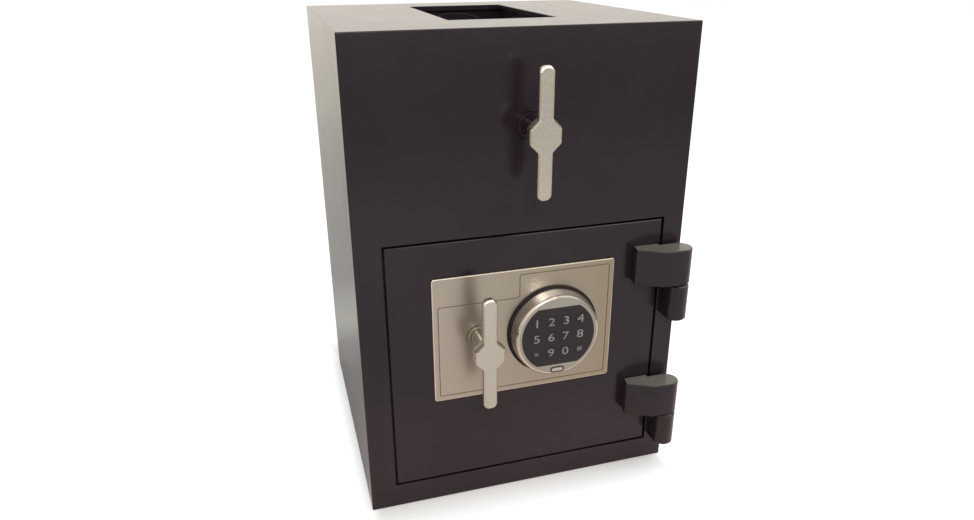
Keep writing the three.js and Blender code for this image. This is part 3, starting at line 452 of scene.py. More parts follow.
# The housing's chrome in lit and shaded copies: a painted highlight on the rim, painted shade on the
# rim's upper right and a painted glint on the wall.
FACE_CHROME = turned_chrome(
    "housing_chrome", chip(173, 168, 160), chip(166, 161, 153), (0.22, 0.28)
)
RIM_HIGHLIGHT_CHROME = turned_chrome("housing_rim_highlight", chip(216, 209, 199), chip(206, 199, 189), (0.14, 0.2))
WALL_CHROME = turned_chrome("housing_wall", chip(178, 174, 181), chip(168, 164, 171), (0.2, 0.26))
SHADE_CHROME = turned_chrome(
    "housing_shade", chip(158, 153, 145), chip(150, 145, 137), (0.36, 0.42)
)
GLINT_CHROME = turned_chrome(
    "housing_glint", chip(251, 250, 252), chip(173, 169, 176), (0.26, 0.32)
)
BRIGHT_STEEL = Metal(
    "bright_steel", chip(200, 198, 196), chip(178, 176, 173), (0.2, 0.34), Grain.ALONG_X
)
ZINC = Metal(
    "zinc_plate", chip(190, 194, 197), chip(168, 173, 178), (0.3, 0.46), tone_per_metre=45.0
)
BRONZE = Metal("bearing_bronze", chip(176, 130, 72), chip(146, 103, 55), (0.3, 0.42))
OILED_BRONZE = Metal("oiled_bronze", chip(40, 32, 29), chip(30, 25, 23), (0.55, 0.7))
LOCK_CASTING = Metal("lock_casting", chip(150, 151, 153), chip(128, 130, 132), (0.42, 0.56))
WELD_BEAD = Metal(
    "weld_bead", chip(70, 67, 68), chip(48, 45, 46), (0.4, 0.6), tone_per_metre=160.0
)
BLACK_RUBBER = Moulded("black_rubber", chip(32, 24, 24), chip(25, 19, 19), (0.66, 0.8), 0.25)
BLACK_FASCIA = Moulded("black_fascia", chip(26, 17, 23), chip(20, 14, 18), (0.40, 0.52), 0.45)
PALE_WINDOW = Moulded("pale_window", chip(184, 174, 170), chip(170, 161, 157), (0.22, 0.3))
DARK_RIM = Moulded("dark_rim", chip(54, 46, 43), chip(44, 38, 36), (0.5, 0.62), 0.3)
LEGEND_INK = Moulded("legend_ink", chip(142, 137, 140), chip(124, 120, 123), (0.5, 0.6))
GROOVE_FILL = Moulded("groove_fill", chip(116, 101, 78), chip(98, 86, 67), (0.5, 0.65))


# Outlines and meshes


def box_mm(node: str) -> tuple[Vector, Vector]:
    """Give a CAD node's lowest and highest corners in millimetres."""
    low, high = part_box(node)
    return low / MM, high / MM


def middle_of(node: str) -> tuple[float, float]:
    """Give the X and Z of a CAD node's middle in millimetres."""
    low, high = box_mm(node)
    return ((low.x + high.x) / 2, (low.z + high.z) / 2)


def rounded(corners: list[Corner], steps: int = 8) -> Outline:
    """Round a polygon's corners.

    Args:
        corners: Each corner as its two coordinates and its radius.
        steps: Steps in each rounded corner.

    Returns:
        The outline's points.
    """
    points: Outline = []
    for i, (across, up, radius) in enumerate(corners):
        here = Vector((across, up))
        back = (Vector(corners[i - 1][:2]) - here).normalized()
        ahead = (Vector(corners[(i + 1) % len(corners)][:2]) - here).normalized()
        half = back.angle(ahead) / 2
        centre = here + (back + ahead).normalized() * radius / math.sin(half)
        start = here + back * radius / math.tan(half) - centre
        end = here + ahead * radius / math.tan(half) - centre
        sweep = start.angle_signed(end)
        for step in range(steps + 1):
            turned_to = start.copy()
            turned_to.rotate(Matrix.Rotation(-sweep * step / steps, 2))
            points.append(tuple(centre + turned_to))
    return points


def rounded_box(left: float, right: float, low: float, high: float, radius: float) -> Outline:
    """Give a rectangle with rounded corners, from its four sides and their radius."""
    corners = [(left, low), (right, low), (right, high), (left, high)]
    return rounded([(across, up, radius) for across, up in corners])


def ring(radius: float, across: float = 0.0, up: float = 0.0, steps: int = 96) -> Outline:
    """Give a circle about a centre, as so many points."""
    turns = [2 * math.pi * step / steps for step in range(steps)]
    return [(across + radius * math.cos(t), up + radius * math.sin(t)) for t in turns]


def rolled(radius: float, front: float, size: float, steps: int = 6) -> Outline:
    """Give the profile of a turned part's rounded edge, from its side to its front.

    Args:
        radius: The part's radius.
        front: Y of its front.
        size: Radius of the rounding.
        steps: Steps in the rounding.

    Returns:
        Points of radius and Y.
    """
    turns = [QUARTER_TURN * step / steps for step in range(steps + 1)]
    inner, back = radius - size, front + size
    return [(inner + size * math.cos(t), back - size * math.sin(t)) for t in turns]


def oval(half_run: float, radius: float, across: float, up: float, steps: int = 20) -> Outline:
    """Give a slot with round ends that lies level.

    Args:
        half_run: Half of its straight length.
        radius: Radius of its ends.
        across: First coordinate of its centre.
        up: Second coordinate of its centre.
        steps: Steps in each end.

    Returns:
        The outline's points.
    """
    points: Outline = []
    for side in (1, -1):
        for step in range(steps + 1):
            turn = math.pi * step / steps - QUARTER_TURN
            x = half_run + radius * math.cos(turn)
            points.append((across + side * x, up + side * radius * math.sin(turn)))
    return points


def flattened_circle(
    radius: float, half_height: float, fillet: float, side_steps: int = 36, corner_steps: int = 8
) -> Outline:
    """Give a circle cut flat above and below, with its corners filleted.

    Args:
        radius: Radius of the circle.
        half_height: Half of the distance between the flats.
        fillet: Radius of the corners.
        side_steps: Steps in each quarter of the circle.
        corner_steps: Steps in each corner.

    Returns:
        The outline's points about its centre.
    """
    corner_up = half_height - fillet
    corner_across = math.sqrt((radius - fillet) ** 2 - corner_up**2)
    blend = math.atan2(corner_up, corner_across)
    quarter: Outline = []
    for step in range(side_steps):
        turn = blend * step / side_steps
        quarter.append((radius * math.cos(turn), radius * math.sin(turn)))
    for step in range(corner_steps + 1):
        turn = blend + (QUARTER_TURN - blend) * step / corner_steps
        x = corner_across + fillet * math.cos(turn)
        quarter.append((x, corner_up + fillet * math.sin(turn)))
    upper = quarter + [(-x, y) for x, y in reversed(quarter)]
    return upper + [(-x, -y) for x, y in upper[1:-1]]


def shifted(outline: Outline, across: float, up: float) -> Outline:
    """Move an outline in its own plane."""
    return [(x + across, y + up) for x, y in outline]


def polar(face: Face, across: float, up: float) -> tuple[float, float]:
    """Give a face's distance from an axis along Y, and its turn about it."""
    x, z = face.center.x / MM - across, face.center.z / MM - up
    return math.hypot(x, z), math.atan2(z, x)


def linked(name: str, data: bpy.types.ID) -> Thing:
    """Put data into the scene as an object.

    Args:
        name: The object's name.
        data: Its mesh, curve, camera or lamp.

    Returns:
        The object.
    """
    holder = bpy.data.objects.new(name, data)
    bpy.context.scene.collection.objects.link(holder)
    return holder


def evaluated(holder: Thing) -> Mesh:
    """Give an object's plain mesh, as its modifiers leave it."""
    graph = bpy.context.evaluated_depsgraph_get()
    return bpy.data.meshes.new_from_object(holder.evaluated_get(graph))


def mesh_of(data: bpy.types.ID) -> Mesh:
    """Turn a curve or text into a clean mesh, and remove the curve.

    Args:
        data: The curve or text.

    Returns:
        Its mesh, welded, with its faces outwards.
    """
    holder = linked("holder", data)
    mesh = evaluated(holder)
    bpy.data.objects.remove(holder)
    bpy.data.curves.remove(data)
    return tidied(mesh)


def tidied(mesh: Mesh) -> Mesh:
    """Weld a mesh's doubles, join its flat faces and turn them outwards.

    Args:
        mesh: The mesh, which is changed.

    Returns:
        The same mesh.
    """
    work = bmesh.new()
    work.from_mesh(mesh)
    bmesh.ops.remove_doubles(work, verts=work.verts, dist=WELD_M)
    bmesh.ops.dissolve_limit(
        work, angle_limit=FLAT_ANGLE, verts=work.verts, edges=work.edges, delimit={"MATERIAL"}
    )
    bmesh.ops.recalc_face_normals(work, faces=work.faces)
    work.to_mesh(mesh)
    work.free()
    return mesh


def sheet(
    outlines: list[Outline], front: float, back: float, bevel: float = 0.0, steps: int = 2
) -> Mesh:
    """Cut a flat part that faces the front from outlines in X and Z.

    Args:
        outlines: The outside first, then any holes, in millimetres.
        front: Y of its front face.
        back: Y of its back face.
        bevel: Rounding of its edges.
        steps: Steps in the rounding.

    Returns:
        The part's mesh.
    """
    curve = bpy.data.curves.new("outline", "CURVE")
    curve.dimensions = "2D"
    curve.fill_mode = "BOTH"
    curve.extrude = ((back - front) / 2 - bevel) * MM
    curve.bevel_depth = bevel * MM
    curve.bevel_resolution = steps
    curve.offset = -bevel * MM
    for outline in outlines:
        spline = curve.splines.new("POLY")
        spline.points.add(len(outline) - 1)
        for point, (across, up) in zip(spline.points, outline):
            point.co = (across * MM, up * MM, 0.0, 1.0)
        spline.use_cyclic_u = True
    mesh = mesh_of(curve)
    mesh.transform(Matrix.Translation((0.0, (front + back) / 2 * MM, 0.0)) @ FACING_FRONT)
    return mesh


def turned(profile: Outline, across: float, up: float, segments: int = 128) -> Mesh:
    """Turn a profile about an axis along Y.

    Args:
        profile: Points of radius and Y, which start and end on the axis.
        across: X of the axis.
        up: Z of the axis.
        segments: Facets round the axis.

    Returns:
        The part's mesh.
    """
    work = bmesh.new()
    rings = []
    for radius, along in profile:
        circle = ring(radius, across, up, segments) if radius > 0 else [(across, up)]
        rings.append([work.verts.new((x * MM, along * MM, z * MM)) for x, z in circle])
    for first, second in zip(rings, rings[1:]):
        for i in range(segments):
            after = (i + 1) % segments
            if len(first) == 1:
                work.faces.new((first[0], second[i], second[after]))
            elif len(second) == 1:
                work.faces.new((first[i], first[after], second[0]))
            else:
                work.faces.new((first[i], first[after], second[after], second[i]))
    bmesh.ops.recalc_face_normals(work, faces=work.faces)
    mesh = bpy.data.meshes.new("turned")
    work.to_mesh(mesh)
    work.free()
    return mesh


def joined(*meshes: Mesh) -> Mesh:
    """Put several meshes into one.

    Args:
        meshes: The meshes, of which all but the first are removed.

    Returns:
        The first, with the others in it.
    """
    work = bmesh.new()
    for mesh in meshes:
        work.from_mesh(mesh)
    work.to_mesh(meshes[0])
    work.free()
    for mesh in meshes[1:]:
        bpy.data.meshes.remove(mesh)
    return meshes[0]


def coated(mesh: Mesh, *finishes: Finish) -> Mesh:
    """Give a mesh its finishes, in the order of its faces' material numbers.

    Args:
        mesh: The mesh, which is changed.
        finishes: The finishes.

    Returns:
        The same mesh.
    """
    for finish in finishes:
        mesh.materials.append(material_of(finish))
    return mesh


def carved(
    blank: Mesh, cutters: list[Mesh], cut_finish: Finish | None = None
) -> Mesh:
    """Cut shapes out of a blank.

    Args:
        blank: What is cut, which is removed afterwards.
        cutters: What is taken away, removed afterwards.
        cut_finish: Finish of the faces that the cutters leave, or the blank's own.

    Returns:
        The cut mesh.
    """
    stock = linked("stock", blank)
    holders = []
    for cutter in cutters:
        if cut_finish is not None:
            coated(cutter, cut_finish)
        holders.append(linked("cutter", cutter))
        cut = stock.modifiers.new("cut", "BOOLEAN")
        cut.operation = "DIFFERENCE"
        cut.solver = "EXACT"
        cut.object = holders[-1]
        cut.material_mode = "TRANSFER"
    mesh = evaluated(stock)
    for holder in [stock, *holders]:
        bpy.data.objects.remove(holder)
    for used in [blank, *cutters]:
        bpy.data.meshes.remove(used)
    if cut_finish is None:
        mesh.materials.clear()
    return tidied(mesh)


def cad_copy(node: str) -> Mesh:
    """Copy a CAD node's mesh.

    Args:
        node: Name of the node.

    Returns:
        The copy, welded and with its flat faces joined.
    """
    mesh = frame["nodes"][node].data.copy()
    mesh.materials.clear()
    if "custom_normal" in mesh.attributes:
        mesh.attributes.remove(mesh.attributes["custom_normal"])
    return tidied(mesh)


@dataclass(frozen=True)
class Piece:
    """How one finished piece is named, carried and dressed."""

    name: str
    body: str
    slot: str
    finish: Finish
    stands_for: tuple[str, ...] = ()
    smooth_deg: float = 35.0
    edge: float = 0.0
    edge_steps: int = 2
    edge_deg: float = 50.0

    @classmethod
    def of(cls, node: str, slot: str, finish: Finish, **rest: float) -> "Piece":
        """Describe the piece that takes a CAD node's place on its body."""
        body = frame["nodes"][node]["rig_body"]
        return cls(f"{node}_finished", body, slot, finish, (node,), **rest)

    def add(self, mesh: Mesh) -> None:
        """Make the piece from its mesh.

        Args:
            mesh: The mesh, in place.
        """
        mesh.name = self.name
        if not mesh.materials:
            coated(mesh, self.finish)
        mesh.shade_smooth()
        mesh.set_sharp_from_angle(angle=math.radians(self.smooth_deg))
        piece = linked(self.name, mesh)
        if self.edge > 0:
            rounding = piece.modifiers.new("edges", "BEVEL")
            rounding.width = self.edge * MM
            rounding.segments = self.edge_steps
            rounding.limit_method = "ANGLE"
            rounding.angle_limit = math.radians(self.edge_deg)
        level = piece.modifiers.new("level_flats", "WEIGHTED_NORMAL")
        level.keep_sharp = True
        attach(piece, self.body)
        if self.stands_for:
            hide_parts(*self.stands_for)
        LOG.info("piece %s on %s: %d faces", self.name, self.body, len(mesh.polygons))


@dataclass(frozen=True)
class Dressing:
    """A CAD node whose shape is kept, with its finish and the rounding of its edges."""

    node: str
    slot: str
    finish: Finish
    edge: float = 0.3
    smooth_deg: float = 35.0
    top_finish: Finish | None = None

    def add(self) -> None:
        """Put a smooth copy in the node's place."""
        mesh = coated(cad_copy(self.node), self.finish)
        # Painted light: upward faces take the lighter top finish, as if lit from above.
        if self.top_finish is not None:
            coated(mesh, self.top_finish)
            for face in mesh.polygons:
                face.material_index = int(face.normal.z > LEVEL_COSINE)
        rest = {"smooth_deg": self.smooth_deg, "edge": self.edge}
        Piece.of(self.node, self.slot, self.finish, **rest).add(mesh)


def dress(slot: str, finish: Finish, *nodes: str, edge: float = 0.3) -> None:
    """Put a smooth copy in the place of each of several CAD nodes."""
    for node in nodes:
        Dressing(node, slot, finish, edge).add()


# Repeated details


class NodeTree(Nodes):
    """A tree of geometry nodes with named inputs, run once on a carrier mesh."""

    def __init__(self, name: str, finish: Finish) -> None:
        """Start a tree with a geometry input and output.

        Args:
            name: Name of the tree.
            finish: Finish of what it makes.
        """
        super().__init__(bpy.data.node_groups.new(name, "GeometryNodeTree"))
        for socket, way in (("Carrier", "INPUT"), ("Result", "OUTPUT")):
            self.tree.interface.new_socket(socket, in_out=way, socket_type="NodeSocketGeometry")
        self.entry = self.add("NodeGroupInput")
        self.exit = self.add("NodeGroupOutput")
        self.finish = finish
        self.values: dict[str, object] = {}

    def value(self, name: str, kind: str, value: object) -> Socket:
        """Add a named input with its value.

        Args:
            name: Name of the input.
            kind: Type of its socket.
            value: What the modifier sets it to.

        Returns:
            The input's socket inside the tree.
        """
        socket = self.tree.interface.new_socket(name, in_out="INPUT", socket_type=kind)
        self.values[socket.identifier] = value
        return self.entry.outputs[name]

    def run(self, carrier: Mesh, made: Socket) -> Mesh:
        """Realise what was made, give it its finish and turn it into a plain mesh.

        Args:
            carrier: The mesh that the tree works on, which is removed.
            made: The socket with the instances.

        Returns:
            The plain mesh.
        """
        finish = self.value("Finish", "NodeSocketMaterial", material_of(self.finish))
        real = self.add("GeometryNodeRealizeInstances", {"Geometry": made})
        coat = {"Geometry": real.outputs[0], "Material": finish}
        self.fill(self.exit, {0: self.add("GeometryNodeSetMaterial", coat).outputs[0]})
        holder = linked("carrier", carrier)
        modifier = holder.modifiers.new("nodes", "NODES")
        modifier.node_group = self.tree
        for identifier, value in self.values.items():
            modifier[identifier] = value
        mesh = evaluated(holder)
        holder.modifiers.remove(modifier)
        bpy.data.objects.remove(holder)
        bpy.data.meshes.remove(carrier)
        return mesh


@dataclass(frozen=True)
class PanScrews:
    """A set of cross-head screws that face one way."""

    radius: float = 3.4
    height: float = 1.6
    crown_height: float = 1.76
    segments: int = 24
    slot_length: float = 3.6
    slot_width: float = 0.7
    slot_depth: float = 0.9
    seed: int = 5

    def one(self) -> Mesh:
        """Model one screw head that faces +Z, standing on the origin.

        Returns:
            Its mesh.
        """
        top = -self.crown_height
        edge = rolled(self.radius, -self.height, self.height / 2)
        head = turned([(0.0, 0.0), (self.radius, 0.0), *edge, (0.0, top)], 0.0, 0.0, self.segments)
        x, z = self.slot_length / 2, self.slot_width / 2
        slots = [
            sheet([[(-a, -b), (a, -b), (a, b), (-a, b)]], top - OVERSHOOT, top + self.slot_depth)
            for a, b in ((x, z), (z, x))
        ]
        mesh = carved(head, slots)
        mesh.transform(FACING_FRONT.inverted())
        return mesh

    def mesh(self, places: list[Corner], facing: Vector, finish: Finish) -> Mesh:
        """Put a screw at each place.

        Args:
            places: Where the heads stand, in millimetres.
            facing: The way that they face.
            finish: Their finish.

        Returns:
            One mesh of all the screws.
        """
        carrier = bpy.data.meshes.new("screw_places")
        carrier.from_pydata([Vector(place) * MM for place in places], [], [])
        screw = bpy.data.objects.new("screw", self.one())
        nodes = NodeTree("pan_screws", finish)
        source = nodes.value("Screw", "NodeSocketObject", screw)
        way = nodes.value("Facing", "NodeSocketVector", tuple(facing))
        seed = nodes.value("Turn Seed", "NodeSocketInt", self.seed)
        limit = nodes.value("Turn Limit", "NodeSocketFloat", math.pi)
        info = nodes.add("GeometryNodeObjectInfo", {"Object": source})
        aim = nodes.add("FunctionNodeAlignRotationToVector", {"Vector": way}, axis="Z")
        placed = nodes.add(
            "GeometryNodeInstanceOnPoints",
            {
                "Points": nodes.entry.outputs["Carrier"],
                "Instance": info.outputs["Geometry"],
                "Rotation": aim.outputs[0],
            },
        )
        chance = nodes.add("FunctionNodeRandomValue", {"Seed": seed, 3: limit}, data_type="FLOAT")
        spin = nodes.add("ShaderNodeCombineXYZ", {"Z": chance.outputs[1]})
        spun = nodes.add(
            "GeometryNodeRotateInstances",
            {"Instances": placed.outputs[0], "Rotation": spin.outputs[0]},
        )
        mesh = nodes.run(carrier, spun.outputs[0])
        bpy.data.objects.remove(screw)
        return mesh


@dataclass(frozen=True)
class WeldRuns:
    """Stitch welds: short runs of overlapping beads along a seam."""

    bead_radius: float = 2.2
    bead_pitch: float = 1.6
    bead_sizes: Range = (0.85, 1.12)
    bead_subdivisions: int = 2
    run: float = 36.0
    pause: float = 70.0
    seed: int = 11

    def runs(self, start: Vector, end: Vector) -> list[tuple[Vector, Vector]]:
        """Divide a seam into equal runs with equal pauses.

        Args:
            start: One end of the seam, in millimetres.
            end: Its other end.

        Returns:
            The ends of each run.
        """
        along = end - start
        count = max(2, round((along.length + self.pause) / (self.run + self.pause)))
        step = (along.length - self.run) / (count - 1)
        way = along.normalized()
        starts = [start + way * step * i for i in range(count)]
        return [(first, first + way * self.run) for first in starts]

    def mesh(self, seams: list[tuple[Vector, Vector]], finish: Finish) -> Mesh:
        """Lay the runs along each seam.

        Args:
            seams: The ends of each seam, in millimetres.
            finish: The beads' finish.

        Returns:
            One mesh of all the beads.
        """
        carrier = bpy.data.meshes.new("weld_paths")
        ends = [pair for seam in seams for pair in self.runs(*seam)]
        points = [point * MM for pair in ends for point in pair]
        carrier.from_pydata(points, [(2 * i, 2 * i + 1) for i in range(len(ends))], [])
        nodes = NodeTree("weld_beads", finish)
        radius = nodes.value("Bead Radius", "NodeSocketFloat", self.bead_radius * MM)
        pitch = nodes.value("Bead Pitch", "NodeSocketFloat", self.bead_pitch * MM)
        seed = nodes.value("Size Seed", "NodeSocketInt", self.seed)
        path = nodes.add("GeometryNodeMeshToCurve", {"Mesh": nodes.entry.outputs["Carrier"]})
        spaced = {"Curve": path.outputs[0], "Length": pitch}
        beads = nodes.add("GeometryNodeResampleCurve", spaced, mode="LENGTH")
        ball = {"Radius": radius, "Subdivisions": self.bead_subdivisions}
        bead = nodes.add("GeometryNodeMeshIcoSphere", ball)
        least, most = self.bead_sizes
        chance = {"Seed": seed, 2: least, 3: most}
        size = nodes.add("FunctionNodeRandomValue", chance, data_type="FLOAT")
        placed = nodes.add(
            "GeometryNodeInstanceOnPoints",
            {"Points": beads.outputs[0], "Instance": bead.outputs[0], "Scale": size.outputs[1]},
        )
        return nodes.run(carrier, placed.outputs[0])


# Sub-assemblies


@dataclass(frozen=True)
class Cabinet:
    """The painted cabinet, its hinges' fixed halves and its welds."""

    edge: float = 0.5
    washer_edge: float = 0.2
    bend_smooth_deg: float = 55.0
    seam_inset: float = 0.6
    seam_start: float = 72.0
    welds: WeldRuns = field(default_factory=WeldRuns)

    def add_shell(self) -> None:
        """Dress the shell, base, back and stop frame."""
        look = ("charcoal_enamel", CHARCOAL_ENAMEL, self.edge, self.bend_smooth_deg)
        for node in ("cabinet_shell", "base_plate", "back_plate", "door_stop_frame"):
            Dressing(node, *look).add()

    def add_hinge_halves(self) -> None:
        """Dress the body knuckles, pins and washers."""
        for hinge in ("upper_hinge", "lower_hinge"):
            dress("charcoal_enamel", CHARCOAL_ENAMEL, f"{hinge}_body_knuckle", edge=0.0)
            dress("bright_steel", BRIGHT_STEEL, f"{hinge}_pin")
            dress("bearing_bronze", OILED_BRONZE, f"{hinge}_washer", edge=self.washer_edge)

    def add_welds(self) -> None:
        """Weld the back and base to the shell from inside."""
        back_low, back_high = box_mm("back_plate")
        base_low, base_high = box_mm("base_plate")
        run, inset = self.welds.run, self.seam_inset
        rear, floor = back_low.y - inset, base_high.z + inset
        seams = []
        for x in (back_low.x + inset, back_high.x - inset):
            upright = (base_high.z + self.seam_start, back_high.z - run)
            seams.append(tuple(Vector((x, rear, z)) for z in upright))
            level = (base_low.y + run, base_high.y - run)
            seams.append(tuple(Vector((x, y, floor)) for y in level))
        piece = Piece("inner_welds", "cabinet", "charcoal_enamel", WELD_BEAD)
        piece.add(self.welds.mesh(seams, WELD_BEAD))

    def build(self) -> None:
        """Build and dress the whole cabinet."""
        self.add_shell()
        self.add_hinge_halves()
        self.add_welds()


@dataclass(frozen=True)
class Handle:
    """A T-handle: a flat bar through an octagonal boss, flush at the front."""

    node: str
    bar_width: float = 15.0
    end_radius: float = 6.4
    crook_radius: float = 2.2
    bar_corner_steps: int = 10
    boss_corner_radius: float = 4.0
    boss_corner_steps: int = 4
    boss_flat_share: float = 0.47
    boss_drop: float = 0.7
    edge: float = 2.8
    edge_steps: int = 5
    boss_edge: float = 2.8 / 3
    bar_thickness: float = 9.0
    overlap: float = 1.5
    upward: float = 0.25
    smooth_deg: float = 40.0

    def bar_outline(self, half_length: float, half_boss: float) -> Outline:
        """Draw the bar and the boss as one outline.

        Args:
            half_length: Half of the bar's length.
            half_boss: Half of the boss's width across flats.

        Returns:
            The outline about the handle's centre.
        """
        half_bar, drop = self.bar_width / 2, self.boss_drop
        half_flat = half_boss * self.boss_flat_share
        crook = half_boss + half_flat - half_bar
        right = [
            (half_bar, -half_length, self.end_radius),
            (half_bar, -crook - drop, self.crook_radius),
            (half_boss, -half_flat - drop, self.boss_corner_radius),
            (half_boss, half_flat - drop, self.boss_corner_radius),
            (half_bar, crook - drop, self.crook_radius),
            (half_bar, half_length, self.end_radius),
        ]
        left = [(-x, z, radius) for x, z, radius in reversed(right)]
        return rounded(right + left, self.bar_corner_steps)

    def boss_outline(self, half_boss: float) -> Outline:
        """Draw the octagon.

        Args:
            half_boss: Half of its width across flats.

        Returns:
            The outline about the handle's centre.
        """
        half_flat = half_boss * math.tan(EIGHTH_TURN / 2)
        corners = []
        for turn in range(4):
            for z in (-half_flat, half_flat):
                corner = Vector((half_boss, z))
                corner.rotate(Matrix.Rotation(turn * QUARTER_TURN, 2))
                corners.append((corner.x, corner.y - self.boss_drop, self.boss_corner_radius))
        return rounded(corners, self.boss_corner_steps)

    def build(self) -> None:
        """Build the handle in the place of its CAD node."""
        low, high = box_mm(self.node)
        half_boss = (high.x - low.x) / 2
        bar_outline = self.bar_outline((high.z - low.z) / 2, half_boss)
        bar = shifted(bar_outline, *middle_of(self.node))
        boss = shifted(self.boss_outline(half_boss), *middle_of(self.node))
        front = sheet([bar], low.y, low.y + self.bar_thickness, self.edge, self.edge_steps)
        hub = sheet([boss], low.y + self.overlap, high.y, self.boss_edge)
        finishes = (SATIN_NICKEL, EDGE_HIGHLIGHT_NICKEL, TOP_SHADE_NICKEL, END_HIGHLIGHT_NICKEL)
        # Painted light on the bar's bevels: a painted highlight at the top end's left, painted shade
        # on the upward bevels and a painted highlight on the rest.
        for face in coated(front, *finishes).polygons:
            if face.center.y / MM > low.y + self.edge or face.normal.y < -FRONTAL_COSINE:
                continue
            if face.center.z / MM > high.z - self.end_radius and face.normal.x < self.upward:
                finish = END_HIGHLIGHT_NICKEL
            else:
                finish = TOP_SHADE_NICKEL if face.normal.z > self.upward else EDGE_HIGHLIGHT_NICKEL
            face.material_index = finishes.index(finish)
        piece = Piece.of(self.node, "satin_nickel", SATIN_NICKEL, smooth_deg=self.smooth_deg)
        piece.add(joined(front, coated(hub, SATIN_NICKEL)))


@dataclass(frozen=True)
class Hopper:
    """The rotary hopper: its cheeks, guards, bearings and drum."""

    bush_edge: float = 0.1
    handle: Handle = field(default_factory=lambda: Handle("hopper_handle"))

    def build(self) -> None:
        """Dress the hopper's pieces and build its handle."""
        dress(
            "charcoal_enamel",
            CHARCOAL_ENAMEL,
            "hopper_front_cheek",
            "hopper_rear_cheek",
            "hopper_left_guard",
            "hopper_right_guard",
            "hopper_drum",
            "hopper_drum_front_end",
            "hopper_drum_rear_end",
        )
        dress("charcoal_enamel", CHARCOAL_ENAMEL, "hopper_spindle", edge=0.0)
        dress("bearing_bronze", CHARCOAL_ENAMEL, "hopper_wall_bush", edge=self.bush_edge)
        dress("bearing_bronze", BRONZE, "hopper_front_bearing", "hopper_rear_bearing")
        dress("bright_steel", BRIGHT_STEEL, "hopper_rear_stub")
        dress("zinc_plated", ZINC, "hopper_rear_collar", "hopper_stop_arm")
        self.handle.build()


@dataclass(frozen=True)
class Escutcheon:
    """The brushed plate with a border line that steps round a bare corner."""

    corner_radius: float = 3.0
    edge: float = 1.0
    upward: float = 0.3
    border_inset: float = 5.6
    bare_width: float = 95.0
    bare_height: float = 32.0
    line_width: float = 0.9
    line_depth: float = 0.4
    line_radius: float = 2.5
    bush_hole_radius: float = 13.45
    hole_edge_radius: float = 26.9

    def border(self, low: Vector, high: Vector, inset: float) -> Outline:
        """Draw the border line's edge.

        Args:
            low: The plate's lowest corner.
            high: Its highest corner.
            inset: How far inside the line's outer edge this one lies.

        Returns:
            The outline.
        """
        left, right = low.x + self.border_inset + inset, high.x - self.border_inset - inset
        bottom, top = low.z + self.border_inset + inset, high.z - self.border_inset - inset
        step_x = low.x + self.bare_width + inset
        step_z = high.z - self.bare_height - inset
        outer = self.line_radius - inset
        return rounded(
            [
                (left, bottom, outer),
                (right, bottom, outer),
                (right, top, outer),
                (step_x, top, outer),
                (step_x, step_z, self.line_radius + inset),
                (left, step_z, outer),
            ]
        )

    def build(self) -> None:
        """Build the plate in the place of its CAD node."""
        low, high = box_mm("escutcheon_plate")
        outline = rounded_box(low.x, high.x, low.z, high.z, self.corner_radius)
        centre = middle_of("bolt_spindle_bush")
        hole = ring(self.bush_hole_radius, *centre)
        blank = sheet([outline, hole], low.y, high.y, self.edge)
        # Painted highlight on the plate's side and lower bevels, away from the bush hole.
        for face in coated(blank, BRUSHED_PLATE, PLATE_EDGE_HIGHLIGHT).polygons:
            from_bush = polar(face, *centre)[0]
            bevelled = face.normal.y > -FRONTAL_COSINE and face.normal.z < self.upward
            face.material_index = int(bevelled and from_bush > self.hole_edge_radius)
        line = [self.border(low, high, inset) for inset in (0.0, self.line_width)]
        tool = sheet(line, low.y - OVERSHOOT, low.y + self.line_depth)
        piece = Piece(
            "escutcheon_finished", "door", "brushed_plate", BRUSHED_PLATE, ("escutcheon_plate",)
        )
        piece.add(carved(blank, [tool], GROOVE_FILL))


